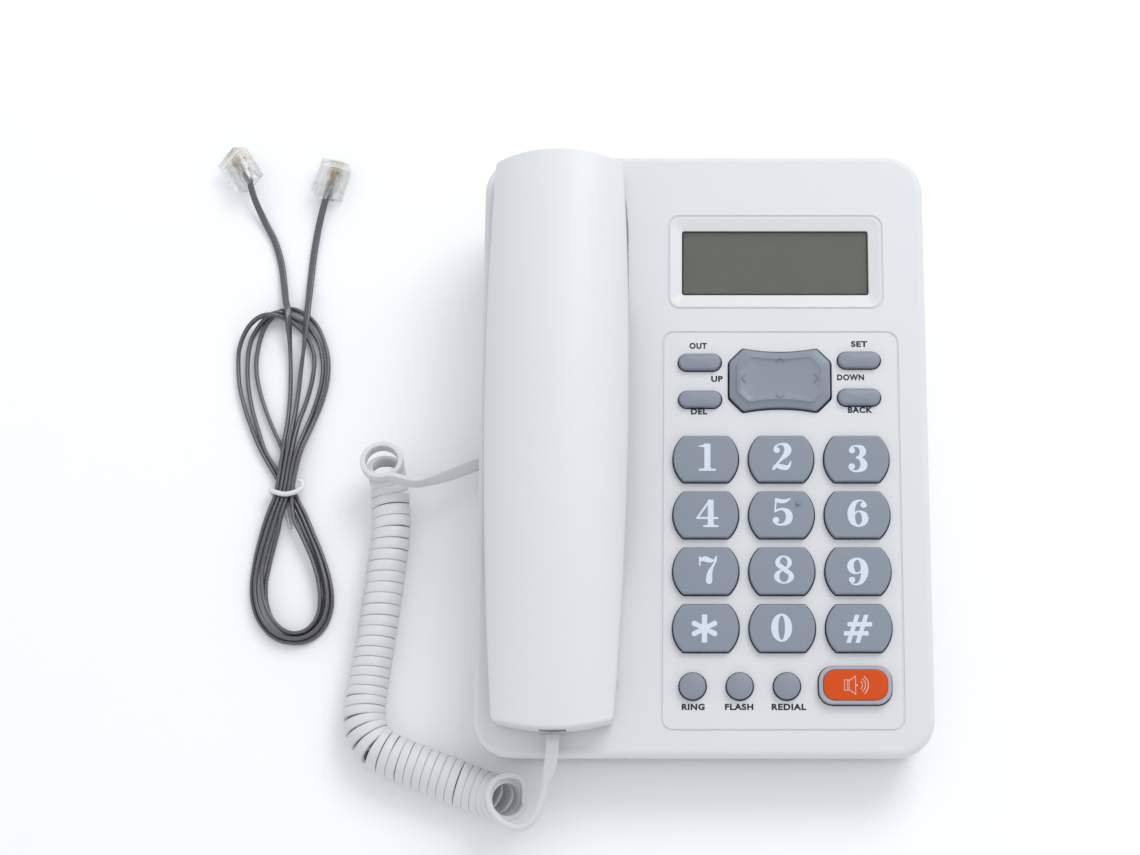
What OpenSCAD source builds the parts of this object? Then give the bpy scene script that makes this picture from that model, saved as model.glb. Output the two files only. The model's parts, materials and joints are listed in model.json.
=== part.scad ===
// Corded desk telephone: a low tilted base with a keypad, a display and a cradle,
// a handset on a curly cord, and a hanked line cord with a modular plug at each end.
//
// X is to the right, Y is to the rear, Z is up, and the base stands on Z = 0.
// Most features are laid out on the tilted top face, as (u, v, w): u is X, v runs up
// the face from its front edge, and w is the height above the face.

/* [Body] */
// Width of the base at its front edge
body_w = 143; // [139:1:150]
// Width of the base at its rear edge
rear_w = 142; // [137:1:146]
// Length of the top face, front edge to rear edge
body_l = 195; // [195:1:200]
// Radius of the base's corners in plan
corner_r = 12; // [9:1:14]
// Tilt of the top face, rear edge up
tilt = 5; // [4:0.5:6]
// Height of the top face above the table at its front edge
front_z = 22; // [22:0.5:26]
// Depth of the top shell's skirt
skirt_h = 9; // [6:0.5:10]
// Thickness of the top shell
wall = 2.4; // [2:0.1:2.6]
// Thickness of the bottom shell
floor_wall = 1.8; // [1.6:0.1:2]

/* [Cradle] */
// Position across the face of the handset's and the wells' centre line
handset_u = -46.2; // [-46.4:0.1:-45.8]
// Depth of the shallow dish around the handset
dish_d = 3; // [2:0.5:4]
// Depth of the two wells that take the handset's cups
well_d = 10.2; // [10:0.1:11]
// Half the width of a well
well_half = 16.8; // [16.6:0.1:17]
// Thickness of the dish's and the wells' walls
tub_wall = 1.6; // [1.4:0.1:1.8]

/* [Handset] */
// Half the width of the handset at its widest point
handset_half = 22.5; // [21:0.1:22.8]
// Height of the handset's crown above the face
crown_w = 25; // [24:0.5:27]
// Height of the joint line between the handset's two shells
seam_w = 11.6; // [11.4:0.1:12]
// Thickness of the handset's shells
handset_wall = 2.2; // [2:0.1:2.4]
// How far the handset's cups reach below the face
cup_d = 9.5; // [9:0.1:9.5]

/* [Keys] */
// Width of a number key
key_w = 20.4; // [18:0.1:20.6]
// Height of a number key, along the face
key_h = 14.6; // [13:0.1:14.8]
// Spacing of the number keys across the face
key_pitch_u = 23.8; // [22.6:0.1:24]
// Spacing of the number keys along the face
key_pitch_v = 17.95; // [17.4:0.05:18.2]
// How far a key's top stands above the face
key_rise = 2.6; // [2.2:0.1:3.5]
// Gap between a key and its hole
key_gap = 0.35; // [0.3:0.05:0.5]
// Diameter of the round function keys
round_key_d = 8.1; // [7:0.1:9]

/* [Cords] */
// Outer diameter of the curly cord's coil
coil_od = 13.5; // [11:0.5:13.5]
// Diameter of the plain tubes that stand for the curly cord's flat leads
lead_d = 3; // [2.4:0.2:3.4]
// Diameter of the line cord
line_d = 2.2; // [1.8:0.1:2.4]
// Thickness of the hank of line cord
hank_h = 5.2; // [4:0.1:5.4]

/* [Hidden] */
$fn = 48;

shell_white = [0.88, 0.89, 0.90];
key_grey = [0.55, 0.58, 0.64];
key_orange = [0.87, 0.37, 0.15];
cord_white = [0.84, 0.85, 0.86];
cord_grey = [0.40, 0.40, 0.41];
clear_grey = [0.80, 0.82, 0.84];
board_green = [0.16, 0.36, 0.22];
part_black = [0.12, 0.12, 0.13];
mat_grey = [0.75, 0.77, 0.80];
steel = [0.66, 0.67, 0.68];

half_l = body_l * cos(tilt) / 2;
far = 300;

// Number keys by row, then the function keys as [name, u, v]
number_names = [["key_1", "key_2", "key_3"], ["key_4", "key_5", "key_6"],
                ["key_7", "key_8", "key_9"], ["key_star", "key_0", "key_hash"]];
pad_u = 0.6;
pad_v = 93.6;
side_keys = [
    ["key_out", -1.3, 125.3], ["key_del", -1.2, 113.1], ["key_set", 49.5, 126], ["key_back", 49.4, 113.8]
];
side_key_size = [13.4, 5.2];
side_key_rise = 2;
round_keys = [["key_ring", -3.5, 21.7], ["key_flash", 11.1, 21.7], ["key_redial", 25.7, 21.7]];
round_key_rise = 2.2;
nav_at = [24.2, 119.4];
nav_size = [32, 20.2];
nav_cut = 4.4;
nav_dip = 1.2;
nav_gap = 0.55;
nav_rise = 3;
speaker_at = [46.8, 21.9];
speaker_size = [22.4, 11.6];
speaker_r = 4.2;
inlay_size = [19.8, 9];
inlay_r = 3;
inlay_d = 0.8;
inlay_t = 1.2;

// Depths of the keys' flanges and of the parts under them, all below the face
flange_top = 2.7;
key_bottom = 4.3;
flange_out = 0.9;
mat_top = 7.2;
board_top = 8.2;
board_t = 1.6;
board_from = [-13, 8];
board_size = [71, 164];
mat_from = [-12.5, 12];
mat_size = [70, 124];
mat_window = 9;
dome_r = 3;
dome_top = 6.4;

// Cradle: the dish and its two wells, as ranges of u and v
dish_u = [-67.5, -19];
dish_v = [9, 187];
dish_r = 8;
wells = [[10.5, 47.5], [147.5, 186]];
well_r = 5;

// Display: window [u, v] centre and size, then the lens and the panel as [w, thickness]
lcd_at = [23, 158.9];
lcd_size = [60, 21.4];
lcd_frame = [69.6, 31.8];
lcd_r = 0.8;
lens = [-3.2, 1.8];
lens_gap = 0.15;
glass_size = [66, 27];
glass = [-6.6, 3.2];
panel_at = [24.4, 71.8];
panel_size = [75.8, 128];
groove_r = 4;
groove_w = 0.8;
groove_d = 0.5;

// Screw places in plan, and the parts of a screwed post
screw_at = [[61.3, -85], [59.3, 86], [-21, -84], [-21, 86]];
screw_r = 1.25;
screw_z = 2.8;
screw_len = 11.6;
head_r = 2.7;
head_t = 1.6;
post_r = 3.4;
post_top = 9.8;
boss_r = 3;
boss_gap = 0.2;
boss_hole_top = 17;

foot_at = [[58, -82], [57, 82], [-57, 82], [-58, -82]];
foot_r = 5;
foot_h = 2;
floor_z = foot_h;
floor_t = 2.2;
// The bottom shell stands in from the top shell's outline, and ends inside its skirt
bottom_inset = 3;
bottom_top = -5;

// The hook plunger comes up through the floor of the rear well
hook_at = [-46.2, 158];
hook_r = 3;
hook_hole_r = 3.4;
hook_foot = -22;
hook_collar = [-20.5, 5, 1.2];
hook_clear = 0.3;
spring_r = 4.4;
spring_w = [-28.4, -22.8];
spring_wire = 0.7;
switch_at = [-62, 44];
switch_size = [12, 7, 6];
lever_size = [14, 2, 0.6];

// Line jack in the rear wall, and handset jack in the left wall: body and mouth sizes
jack_x = 24.5;
jack_y = 1.5;
jack_z = 10;
line_jack_size = [13.6, 14, 12.6];
line_jack_z = 6.2;
line_jack_in = 17;
line_mouth_size = [9.9, 20, 7];
line_mouth_z = 8.2;
line_mouth_in = 15.5;
latch_slot_size = [6.4, 20, 2];
latch_slot_z = 15;
handset_jack_size = [13.5, 10.8, 10.6];
handset_jack_x = -67;
handset_jack_z = 4.8;
handset_mouth_size = [15, 8, 7];

// Ringer and loudspeaker, on the floor of the base, as [radius, height] steps; microphone
speaker_xy = [-44, -34];
speaker_steps = [[18, 3], [10, 4]];
speaker_clear = 0.3;
slot_size = [24, 1.8];
slot_pitch = 6;
mic_at = [25, 8.5];
mic_size = [3, 4];

// Handset, along the face
handset_v0 = 7.2;
handset_v1 = 190.4;
front_cup = [12, 46];
rear_cup = [149, 184.5];
cup_half = 15.4;
crown_r = 26;
front_bow = 3.4;
rear_bow = 2.2;
seam_gap = 0.05;
sound_slot_t = 1.2;
sound_slot_pitch = 3;
ear_v = rear_cup[0] + 18;
mouth_v = front_cup[0] + 17;
handset_screw_v = [64, 134];
weight_from = [-9, 84, 10];
weight_size = [18, 30, 6];
socket_w = 7.1;
socket_v = 10.6;
socket_size = [10.4, 9.4, 8.2];
notch_size = [8.2, 10.5, 7.2];
plug4 = [7.65, 11.3, 6.6];
plug4_v = 6.2;
plug4_x = -68.2;

// Curly cord's centre line, in X, Y, Z
coil_route = [
    [-103.4, 0.4, 17.4], [-103.2, -0.3, 14.4], [-102.9, -1.8, 11.2], [-102.4, -4.6, 8.6], [-101.9, -8.6, 7.2],
    [-101.5, -13.6, 6.8], [-101.2, -20.4, 6.8], [-102.2, -33.8, 6.8], [-103.5, -47.2, 6.8], [-105, -60.3, 6.8],
    [-106.6, -73.1, 6.8], [-107.1, -78.2, 6.8], [-106.7, -84.4, 6.8], [-103.3, -90.6, 6.8], [-97, -94.4, 6.8],
    [-90.3, -97.2, 6.8], [-83.8, -99.8, 6.8], [-77.3, -102.4, 6.8], [-71.6, -104.6, 7.2], [-66.6, -106.6, 8.5],
    [-62.9, -108.1, 11], [-60.6, -109.1, 14.2], [-59.6, -109.6, 17]
];
// Flat lead from the base's left side to the coil's upper end
lead_base_route = [
    [-68.2, 1.5, 10], [-71.2, 1.5, 10], [-76.5, -0.6, 10.6], [-82.7, -3.6, 12.3], [-88.7, -5.9, 14.6],
    [-93.5, -6.6, 16.2], [-98.6, -4.2, 16.6]
];
// Flat lead from the handset's front end to the coil's lower end
lead_handset_route = [
    [-46.2, -91.6, 29.6], [-46.2, -94.6, 29.3], [-46.7, -98.6, 26.6], [-48, -103.9, 22.6],
    [-49.3, -107.4, 19.6], [-51.4, -109.6, 16.4], [-54.2, -110.2, 13.6]
];
// Line cord's two free stretches, from each plug to the hank
tail_left_route = [
    [-154.2, 102.1, 5.8], [-152.4, 96.6, 4], [-149, 89.5, 1.6], [-145.4, 82.6, 1.2], [-142.3, 74.6, 1.2],
    [-140.6, 66, 1.4], [-139.8, 58.6, 2.6]
];
tail_right_route = [
    [-128.4, 98.4, 3.4], [-129.6, 93.4, 2.6], [-130.9, 87, 1.4], [-131.9, 78.6, 1.2], [-132.5, 69, 1.4],
    [-132.9, 59, 2.6]
];
// Plugs of the line cord: cord end, heading and roll
plug_left_at = [-154.2, 102.1, 5.8];
plug_left_heading = 124;
plug_left_roll = -38;
plug_right_at = [-128.4, 98.4, 3.4];
plug_right_heading = 76;
plug6 = [12.3, 9.65, 6.6];
cord_hole = [5, 4.2, 2.4];
contact_pitch = 1.02;
contact_slot = [4, 0.5, 3];
latch = [7.6, 6.2, 0.9];
latch_tip = [5.8, 3, 0.9];

// Hank: [X, Y] of the middle of each loop, the tie, and the loops' half widths
hank_top = [-140.6, 43.5];
hank_bottom = [-133.2, -42.5];
hank_tie = [-136.6, -6.8];
hank_r = [14.5, 14];
hank_waist = 3.8;
hank_z = 0.9;
tie_t = 0.8;
tie_len = 2.4;
tie_clear = 0.8;

// ---- Frames and outlines ----

module on_face() {
    translate([0, -half_l, front_z]) rotate([tilt, 0, 0]) children();
}

// A flat layer of space between two heights over the face
module face_layer(w0, w1) {
    on_face() translate([-far / 2, -50, w0]) cube([far, far, w1 - w0]);
}

function arc(centre, r, from, to, steps = 6) = [
    for (i = [0:steps])
        let (a = from + (to - from) * i / steps) centre + r * [cos(a), sin(a)]
];

function base_outline(inset) =
    let (f = body_w / 2 - inset, b = rear_w / 2 - inset, y = half_l - inset, r = corner_r - inset)
    concat(
        arc([f - r, r - y], r, -90, 0), arc([b - r, y - r], r, 0, 90),
        arc([r - b, y - r], r, 90, 180), arc([r - f, r - y], r, 180, 270)
    );

module base_prism(inset, z0, z1) {
    translate([0, 0, z0]) linear_extrude(z1 - z0) polygon(base_outline(inset));
}

function round_box(size, r) =
    let (x = size.x / 2 - r, y = size.y / 2 - r)
    concat(
        arc([x, -y], r, -90, 0), arc([x, y], r, 0, 90),
        arc([-x, y], r, 90, 180), arc([-x, -y], r, 180, 270)
    );

// A rounded box on the face, between two corners and two heights
module face_box(u0, v0, u1, v1, w0, w1, r) {
    translate([(u0 + u1) / 2, (v0 + v1) / 2, w0])
        linear_extrude(w1 - w0) polygon(round_box([u1 - u0, v1 - v0], r));
}

// ---- Tubes along a route ----

function unit(v) = v / norm(v);
function along(route, i) = unit(route[min(i + 1, len(route) - 1)] - route[max(i - 1, 0)]);
function ring(centre, t, r, sides) =
    let (s = unit(cross(t, [0, 0, 1])), n = cross(s, t))
    [for (k = [0:sides - 1]) centre + r * (cos(360 * k / sides) * s + sin(360 * k / sides) * n)];

module tube(route, d, sides = 8) {
    rings = len(route);
    points = [for (i = [0:rings - 1]) each ring(route[i], along(route, i), d / 2, sides)];
    walls = [
        for (i = [0:rings - 2], k = [0:sides - 1])
            let (a = i * sides, b = a + sides, next = (k + 1) % sides) [a + k, a + next, b + next, b + k]
    ];
    start = [for (k = [0:sides - 1]) sides - 1 - k];
    end = [for (k = [0:sides - 1]) (rings - 1) * sides + k];
    polyhedron(points, concat([start], walls, [end]), convexity = 6);
}

// ---- Key outlines ----

// Flat top and bottom, sides that are arcs
module number_key_2d(grow = 0) {
    sagitta = 3.2;
    chord = key_h / 2;
    r = (chord * chord + sagitta * sagitta) / (2 * sagitta);
    intersection() {
        union() {
            for (side = [-1, 1]) translate([side * (key_w / 2 - r), 0]) circle(r + grow);
        }
        square([2 * key_w, key_h + 2 * grow], center = true);
    }
}

module side_key_2d(grow = 0) {
    straight = side_key_size.x - side_key_size.y;
    square([straight, side_key_size.y + 2 * grow], center = true);
    for (side = [-1, 1]) translate([side * straight / 2, 0]) circle(side_key_size.y / 2 + grow);
}

module round_key_2d(grow = 0) {
    circle(round_key_d / 2 + grow);
}

module speaker_key_2d(grow = 0) {
    polygon(round_box(speaker_size + 2 * [grow, grow], speaker_r + grow));
}

// An octagon whose long sides dip in the middle
module nav_key_2d(grow = 0) {
    x = nav_size.x / 2 + grow;
    y = nav_size.y / 2 + grow;
    cut = nav_cut + 0.4 * grow;
    steps = 6;
    dip = [
        for (i = [0:steps])
            let (t = i / steps) [(x - cut) * (1 - 2 * t), y - nav_dip * (1 - pow(2 * t - 1, 2))]
    ];
    polygon(concat([[x, y - cut]], dip, [[-x, y - cut], [-x, cut - y]], [for (p = dip) -p], [[x, cut - y]]));
}

// A keycap with a flange that holds it under the top shell; children give its outline
module keycap(at, rise = key_rise) {
    on_face() translate([at.x, at.y, -key_bottom]) {
        linear_extrude(key_bottom + rise) children(0);
        linear_extrude(key_bottom - flange_top) children(1);
    }
}

function number_key_at(row, column) = [pad_u + column * key_pitch_u, pad_v - row * key_pitch_v];

module number_key(row, column) {
    color(key_grey) keycap(number_key_at(row, column)) {
        number_key_2d();
        number_key_2d(flange_out);
    }
}

module side_key(at) {
    color(key_grey) keycap(at, side_key_rise) {
        side_key_2d();
        side_key_2d(flange_out);
    }
}

module round_key(at) {
    color(key_grey) keycap(at, round_key_rise) {
        round_key_2d();
        round_key_2d(flange_out);
    }
}

// ---- Base ----

module cradle_space(grow) {
    floor_w = -dish_d - grow;
    top_w = grow > 0 ? -0.5 : 1;
    face_box(
        dish_u[0] - grow, dish_v[0] - grow, dish_u[1] + grow, dish_v[1] + grow,
        floor_w, top_w, dish_r + grow
    );
    for (v = wells)
        face_box(
            handset_u - well_half - grow, v[0] - grow, handset_u + well_half + grow, v[1] + grow,
            -well_d - grow, top_w, well_r + grow
        );
}

module key_holes() {
    for (row = [0:3], column = [0:2])
        translate(number_key_at(row, column)) linear_extrude(far, center = true) number_key_2d(key_gap);
    for (k = side_keys) translate([k[1], k[2]]) linear_extrude(far, center = true) side_key_2d(key_gap);
    for (k = round_keys) translate([k[1], k[2]]) linear_extrude(far, center = true) round_key_2d(key_gap);
    translate(speaker_at) linear_extrude(far, center = true) speaker_key_2d(key_gap);
    translate(nav_at) linear_extrude(far, center = true) nav_key_2d(nav_gap);
}

module groove(at, size) {
    translate([at.x, at.y, -groove_d]) linear_extrude(1) difference() {
        polygon(round_box(size, groove_r));
        polygon(round_box(size - 2 * [groove_w, groove_w], groove_r - groove_w));
    }
}

module base_top() {
    color(shell_white) difference() {
        union() {
            difference() {
                intersection() {
                    base_prism(0, 1, far);
                    face_layer(-skirt_h, 0);
                }
                intersection() {
                    base_prism(wall, 0, far);
                    face_layer(-skirt_h - 1, -wall);
                }
            }
            on_face() cradle_space(tub_wall);
            intersection() {
                for (at = screw_at)
                    translate([at.x, at.y, post_top + boss_gap]) cylinder(r = boss_r, h = far);
                face_layer(-far, -1);
            }
        }
        on_face() {
            cradle_space(0);
            intersection() {
                key_holes();
                translate([-40, 0, -3.5]) cube([120, 140, 6]);
            }
            translate([lcd_at.x, lcd_at.y, -3]) linear_extrude(6) polygon(round_box(lcd_size, lcd_r));
            groove(lcd_at, lcd_frame);
            groove(panel_at, panel_size);
            translate([hook_at.x, hook_at.y, -20]) cylinder(r = hook_hole_r, h = 20);
        }
        for (at = screw_at) translate([at.x, at.y, 0]) cylinder(r = screw_r + 0.05, h = boss_hole_top);
    }
}

module base_bottom() {
    color(shell_white) difference() {
        union() {
            difference() {
                intersection() {
                    base_prism(bottom_inset, floor_z, far);
                    face_layer(-far, bottom_top);
                }
                base_prism(bottom_inset + floor_wall, floor_z + floor_t, far);
            }
            for (at = screw_at) translate([at.x, at.y, floor_z]) cylinder(r = post_r, h = post_top - floor_z);
        }
        for (at = screw_at) translate([at.x, at.y, 0]) {
            cylinder(r = screw_r + 0.4, h = far);
            cylinder(r = head_r + 0.3, h = screw_z + head_t);
        }
        // Openings for the line jack, the handset jack, the microphone and the speaker
        translate([jack_x - 7, half_l - 8, 6]) cube([14, 12, 13]);
        translate([-75, jack_y - 5.6, 4.6]) cube([12, 11.2, 11]);
        translate([23, -half_l, 8]) cube([4, 9, 1]);
        for (i = [-2:2])
            translate([speaker_xy.x, speaker_xy.y + slot_pitch * i, 0])
                linear_extrude(floor_z + floor_t + 1) square(slot_size, center = true);
    }
}

module feet() {
    color(part_black) for (at = foot_at) translate([at.x, at.y, 0]) cylinder(r = foot_r, h = foot_h);
}

module base_screws() {
    color(steel) for (at = screw_at) translate([at.x, at.y, 0]) {
        translate([0, 0, screw_z]) cylinder(r = head_r, h = head_t);
        translate([0, 0, screw_z + head_t]) cylinder(r = screw_r, h = screw_len);
    }
}

module lcd_lens() {
    color([0.42, 0.44, 0.40]) on_face() translate([lcd_at.x, lcd_at.y, lens[0]])
        linear_extrude(lens[1]) polygon(round_box(lcd_size - 2 * [lens_gap, lens_gap], lcd_r));
}

module lcd_panel() {
    color([0.36, 0.38, 0.34]) on_face() translate([lcd_at.x, lcd_at.y, glass[0]])
        linear_extrude(glass[1]) polygon(round_box(glass_size, lcd_r));
}

module main_pcb() {
    color(board_green) on_face() translate([board_from.x, board_from.y, -board_top - board_t])
        cube([board_size.x, board_size.y, board_t]);
}

// Domes are drawn at the height they have when pressed
module key_mat() {
    color(mat_grey) on_face() {
        translate([0, 0, -board_top]) linear_extrude(board_top - mat_top) difference() {
            translate(mat_from) square(mat_size);
            translate(nav_at) square(mat_window, center = true);
        }
        dome_at = concat(
            [for (row = [0:3], column = [0:2]) number_key_at(row, column)],
            [for (k = concat(side_keys, round_keys)) [k[1], k[2]]],
            [speaker_at]
        );
        for (at = dome_at) translate([at.x, at.y, -mat_top]) cylinder(r = dome_r, h = mat_top - dome_top);
    }
}

module nav_key() {
    color(key_grey) {
        keycap(nav_at, nav_rise) {
            nav_key_2d();
            nav_key_2d(-1);
        }
    }
}

// Post that the navigation key rocks on
module nav_pivot() {
    color(mat_grey) on_face() translate([nav_at.x, nav_at.y, 0]) {
        translate([0, 0, -7.4]) cylinder(r = 3.6, h = 1.4);
        translate([0, 0, -6]) cylinder(r = 2, h = 1.3);
    }
}

module speaker_key() {
    color(key_grey) difference() {
        keycap(speaker_at) {
            speaker_key_2d();
            speaker_key_2d(flange_out);
        }
        on_face() translate([speaker_at.x, speaker_at.y, key_rise - inlay_d])
            linear_extrude(far) polygon(round_box(inlay_size, inlay_r));
    }
}

module speaker_key_inlay() {
    color(key_orange) on_face() translate([speaker_at.x, speaker_at.y, key_rise - inlay_d])
        linear_extrude(inlay_t) polygon(round_box(inlay_size - [0.1, 0.1], inlay_r));
}

// ---- Hook switch ----

// Drawn pressed down by the handset
module hook_plunger() {
    color(shell_white) on_face() translate([hook_at.x, hook_at.y, 0]) {
        translate([0, 0, hook_foot]) cylinder(r = hook_r, h = -hook_foot - cup_d - hook_clear);
        translate([0, 0, hook_collar[0]]) cylinder(r = hook_collar[1], h = hook_collar[2]);
    }
}

module hook_spring() {
    turns = 4;
    steps = 10;
    last = turns * steps;
    route = [
        for (i = [0:last])
            let (a = 360 * i / steps)
                [spring_r * cos(a), spring_r * sin(a), spring_w[0] + (spring_w[1] - spring_w[0]) * i / last]
    ];
    color(steel) on_face() translate([hook_at.x, hook_at.y, 0]) tube(route, spring_wire, 6);
}

module hook_switch() {
    color(part_black) translate([switch_at.x, switch_at.y, floor_z + floor_t]) {
        cube(switch_size);
        translate([2, 2.5, switch_size.z]) cube(lever_size);
    }
}

module base_speaker() {
    color(part_black) translate([speaker_xy.x, speaker_xy.y, floor_z + floor_t + speaker_clear]) {
        cylinder(r = speaker_steps[0][0], h = speaker_steps[0][1]);
        translate([0, 0, speaker_steps[0][1]]) cylinder(r = speaker_steps[1][0], h = speaker_steps[1][1]);
    }
}

module base_mic() {
    color(part_black) translate([mic_at[0], -half_l + 5.2, mic_at[1]]) rotate([-90, 0, 0])
        cylinder(r = mic_size[0], h = mic_size[1]);
}

// ---- Jacks ----

module line_jack() {
    color(part_black) difference() {
        translate([jack_x - line_jack_size.x / 2, half_l - line_jack_in, line_jack_z]) cube(line_jack_size);
        translate([jack_x - line_mouth_size.x / 2, half_l - line_mouth_in, line_mouth_z])
            cube(line_mouth_size);
        translate([jack_x - latch_slot_size.x / 2, half_l - line_mouth_in, latch_slot_z])
            cube(latch_slot_size);
    }
}

module handset_jack() {
    color(part_black) difference() {
        translate([handset_jack_x, jack_y - handset_jack_size.y / 2, handset_jack_z]) cube(handset_jack_size);
        translate([handset_jack_x - 3, jack_y - handset_mouth_size.y / 2, jack_z - handset_mouth_size.z / 2])
            cube(handset_mouth_size);
    }
}

// ---- Handset ----

function handset_side(v) = handset_half - 0.00036 * pow(v - 112, 2);
function handset_crown(v) = crown_w - 6.5 * pow((v - 112) / 105, 2);

// Plan outline: bowed sides and bowed ends
function handset_plan(inset) =
    let (
        v0 = handset_v0 + front_bow + inset, v1 = handset_v1 - rear_bow - inset, steps = 10,
        side = [for (i = [0:steps]) let (v = v0 + (v1 - v0) * i / steps) [handset_side(v) - inset, v]],
        rear = [for (i = [1:7]) let (t = 1 - i / 4) [t * side[steps].x, v1 + rear_bow * (1 - t * t)]],
        front = [for (i = [1:7]) let (t = i / 4 - 1) [t * side[0].x, v0 - front_bow * (1 - t * t)]]
    )
    let (left = [for (i = [steps:-1:0]) [-side[i].x, side[i].y]])
    [for (p = concat(side, rear, left, front)) p + [handset_u, 0]];

// Side outline, as [v, w]: crown above, arch below
function handset_profile(inset) =
    let (a = inset)
    concat(
        [
            for (i = [0:12])
                let (v = handset_v0 + (handset_v1 - handset_v0) * i / 12) [v, handset_crown(v) - a]
        ],
        [
            [handset_v1, 4 + a], [186, 0.6 + a], [149, 0.6 + a], [138, 4 + a], [122, 6.9 + a], [100, 7.6 + a],
            [78, 6.9 + a], [60, 4 + a], [46, 0.6 + a], [handset_v0, 0.6 + a]
        ]
    );

module handset_solid(inset) {
    intersection() {
        linear_extrude(60) polygon(handset_plan(inset));
        translate([handset_u + 40, 0, 0]) rotate([90, 0, -90]) mirror([1, 0, 0])
            linear_extrude(80) polygon(handset_profile(inset));
        translate([handset_u, -10, crown_w - crown_r]) rotate([-90, 0, 0])
            cylinder(r = crown_r - inset, h = far, $fn = 96);
    }
    for (v = [front_cup, rear_cup])
        face_box(
            handset_u - cup_half + inset, v[0] + inset, handset_u + cup_half - inset, v[1] - inset,
            inset - cup_d, 3.5, 4.5 - inset
        );
}

module handset_shell(w0, w1) {
    intersection() {
        difference() {
            handset_solid(0);
            handset_solid(handset_wall);
        }
        translate([handset_u - 40, -10, w0]) cube([80, 220, w1 - w0]);
    }
}

module handset_top() {
    color(shell_white) on_face() handset_shell(seam_w, 40);
}

module handset_bottom() {
    color(shell_white) on_face() difference() {
        handset_shell(-20, seam_w - seam_gap);
        // Notch for the plug, and slots for the earpiece and the mouthpiece
        translate([handset_u - notch_size.x / 2, 0, socket_w - notch_size.z / 2]) cube(notch_size);
        for (i = [-2:2]) {
            translate([handset_u - 7, ear_v + sound_slot_pitch * i, -20]) cube([14, sound_slot_t, 14]);
            translate([handset_u - 5, mouth_v + sound_slot_pitch * i, -20]) cube([10, sound_slot_t, 14]);
        }
        for (v = handset_screw_v) translate([handset_u, v, 0]) cylinder(r = 1.4, h = 14);
    }
}

module ear_speaker() {
    color(part_black) on_face() translate([handset_u, ear_v, handset_wall - cup_d]) {
        cylinder(r = 12.5, h = 2.5);
        translate([0, 0, 2.5]) cylinder(r = 7, h = 3);
    }
}

module handset_mic() {
    color(part_black) on_face() translate([handset_u, mouth_v, handset_wall - cup_d])
        cylinder(r = 4.8, h = 4);
}

module handset_socket() {
    color(part_black) on_face() difference() {
        translate([handset_u - socket_size.x / 2, socket_v, socket_w - socket_size.z / 2]) cube(socket_size);
        translate([handset_u - 3.95, 5, socket_w - 3.4]) cube([7.9, 12.8, 6.8]);
    }
}

module handset_weight() {
    color(steel) on_face() translate([handset_u, 0, 0] + weight_from) cube(weight_size);
}

module handset_screws() {
    color(steel) on_face() for (v = handset_screw_v) translate([handset_u, v, 0]) {
        translate([0, 0, 3]) cylinder(r = 1.3, h = 12);
        translate([0, 0, 2.2]) cylinder(r = 2.4, h = 1.2);
    }
}

// ---- Curly cord ----

module curly_coil() {
    color(cord_white) tube(coil_route, coil_od, 12);
}

module lead_handset() {
    color(cord_white) tube(lead_handset_route, lead_d);
}

module lead_base() {
    color(cord_white) tube(lead_base_route, lead_d);
}

module plug_handset() {
    color(clear_grey) on_face() translate([handset_u - plug4.x / 2, plug4_v, socket_w - plug4.z / 2])
        cube(plug4);
}

module plug_base() {
    color(clear_grey) translate([plug4_x, jack_y - plug4.x / 2, jack_z - plug4.z / 2])
        cube([plug4.y, plug4.x, plug4.z]);
}

// ---- Line cord ----

// A modular plug that heads along +X from the end of its cord
module line_plug() {
    half_w = plug6.y / 2;
    half_h = plug6.z / 2;
    difference() {
        translate([0, -half_w, -half_h]) cube(plug6);
        translate([-1, -cord_hole.y / 2, -cord_hole.z / 2]) cube(cord_hole);
        for (i = [-2.5:2.5])
            translate([plug6.x - 3, contact_pitch * i - contact_slot.y / 2, -half_h - 1]) cube(contact_slot);
        translate([3, -half_w - 1, half_h - 1.4]) cube([6.4, plug6.y + 2, 2]);
    }
    translate([plug6.x - 2.9, -3.1, half_h - 0.9]) rotate([0, 10, 0]) mirror([1, 0, 0]) {
        cube(latch);
        translate([latch.x - 0.2, (latch.y - latch_tip.y) / 2, 0]) cube(latch_tip);
    }
}

module line_plug_left() {
    color(clear_grey) translate(plug_left_at) rotate([0, 0, plug_left_heading])
        rotate([plug_left_roll, 0, 0]) line_plug();
}

module line_plug_right() {
    color(clear_grey) translate(plug_right_at) rotate([0, 0, plug_right_heading]) line_plug();
}

module line_tail_left() {
    color(cord_grey) tube(tail_left_route, line_d);
}

module line_tail_right() {
    color(cord_grey) tube(tail_right_route, line_d);
}

// A loop of the hank: an arc closed down to the waist at the tie
function loop_outline(middle, r) =
    let (
        heading = atan2(middle.y - hank_tie.y, middle.x - hank_tie.x),
        across = hank_waist * [-sin(heading), cos(heading)]
    )
    concat([hank_tie - across], arc(middle, r, heading - 100, heading + 100, 14), [hank_tie + across]);

module line_hank() {
    color(cord_grey) translate([0, 0, hank_z]) linear_extrude(hank_h) union() {
        polygon(loop_outline(hank_top, hank_r[0]));
        polygon(loop_outline(hank_bottom, hank_r[1]));
        translate(hank_tie) square([2 * hank_waist, 3], center = true);
    }
}

// A wire tie round the waist, with a short twisted end
module cord_tie() {
    inner = [2 * (hank_waist + tie_clear), hank_h + 0.2];
    color(cord_white) translate([hank_tie.x, hank_tie.y - tie_len / 2, hank_z - 0.1]) {
        difference() {
            translate([-inner.x / 2 - tie_t, 0, -tie_t])
                cube([inner.x + 2 * tie_t, tie_len, inner.y + 2 * tie_t]);
            translate([-inner.x / 2, -1, 0]) cube([inner.x, tie_len + 2, inner.y]);
        }
    }
}

// ---- Nodes ----

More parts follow.
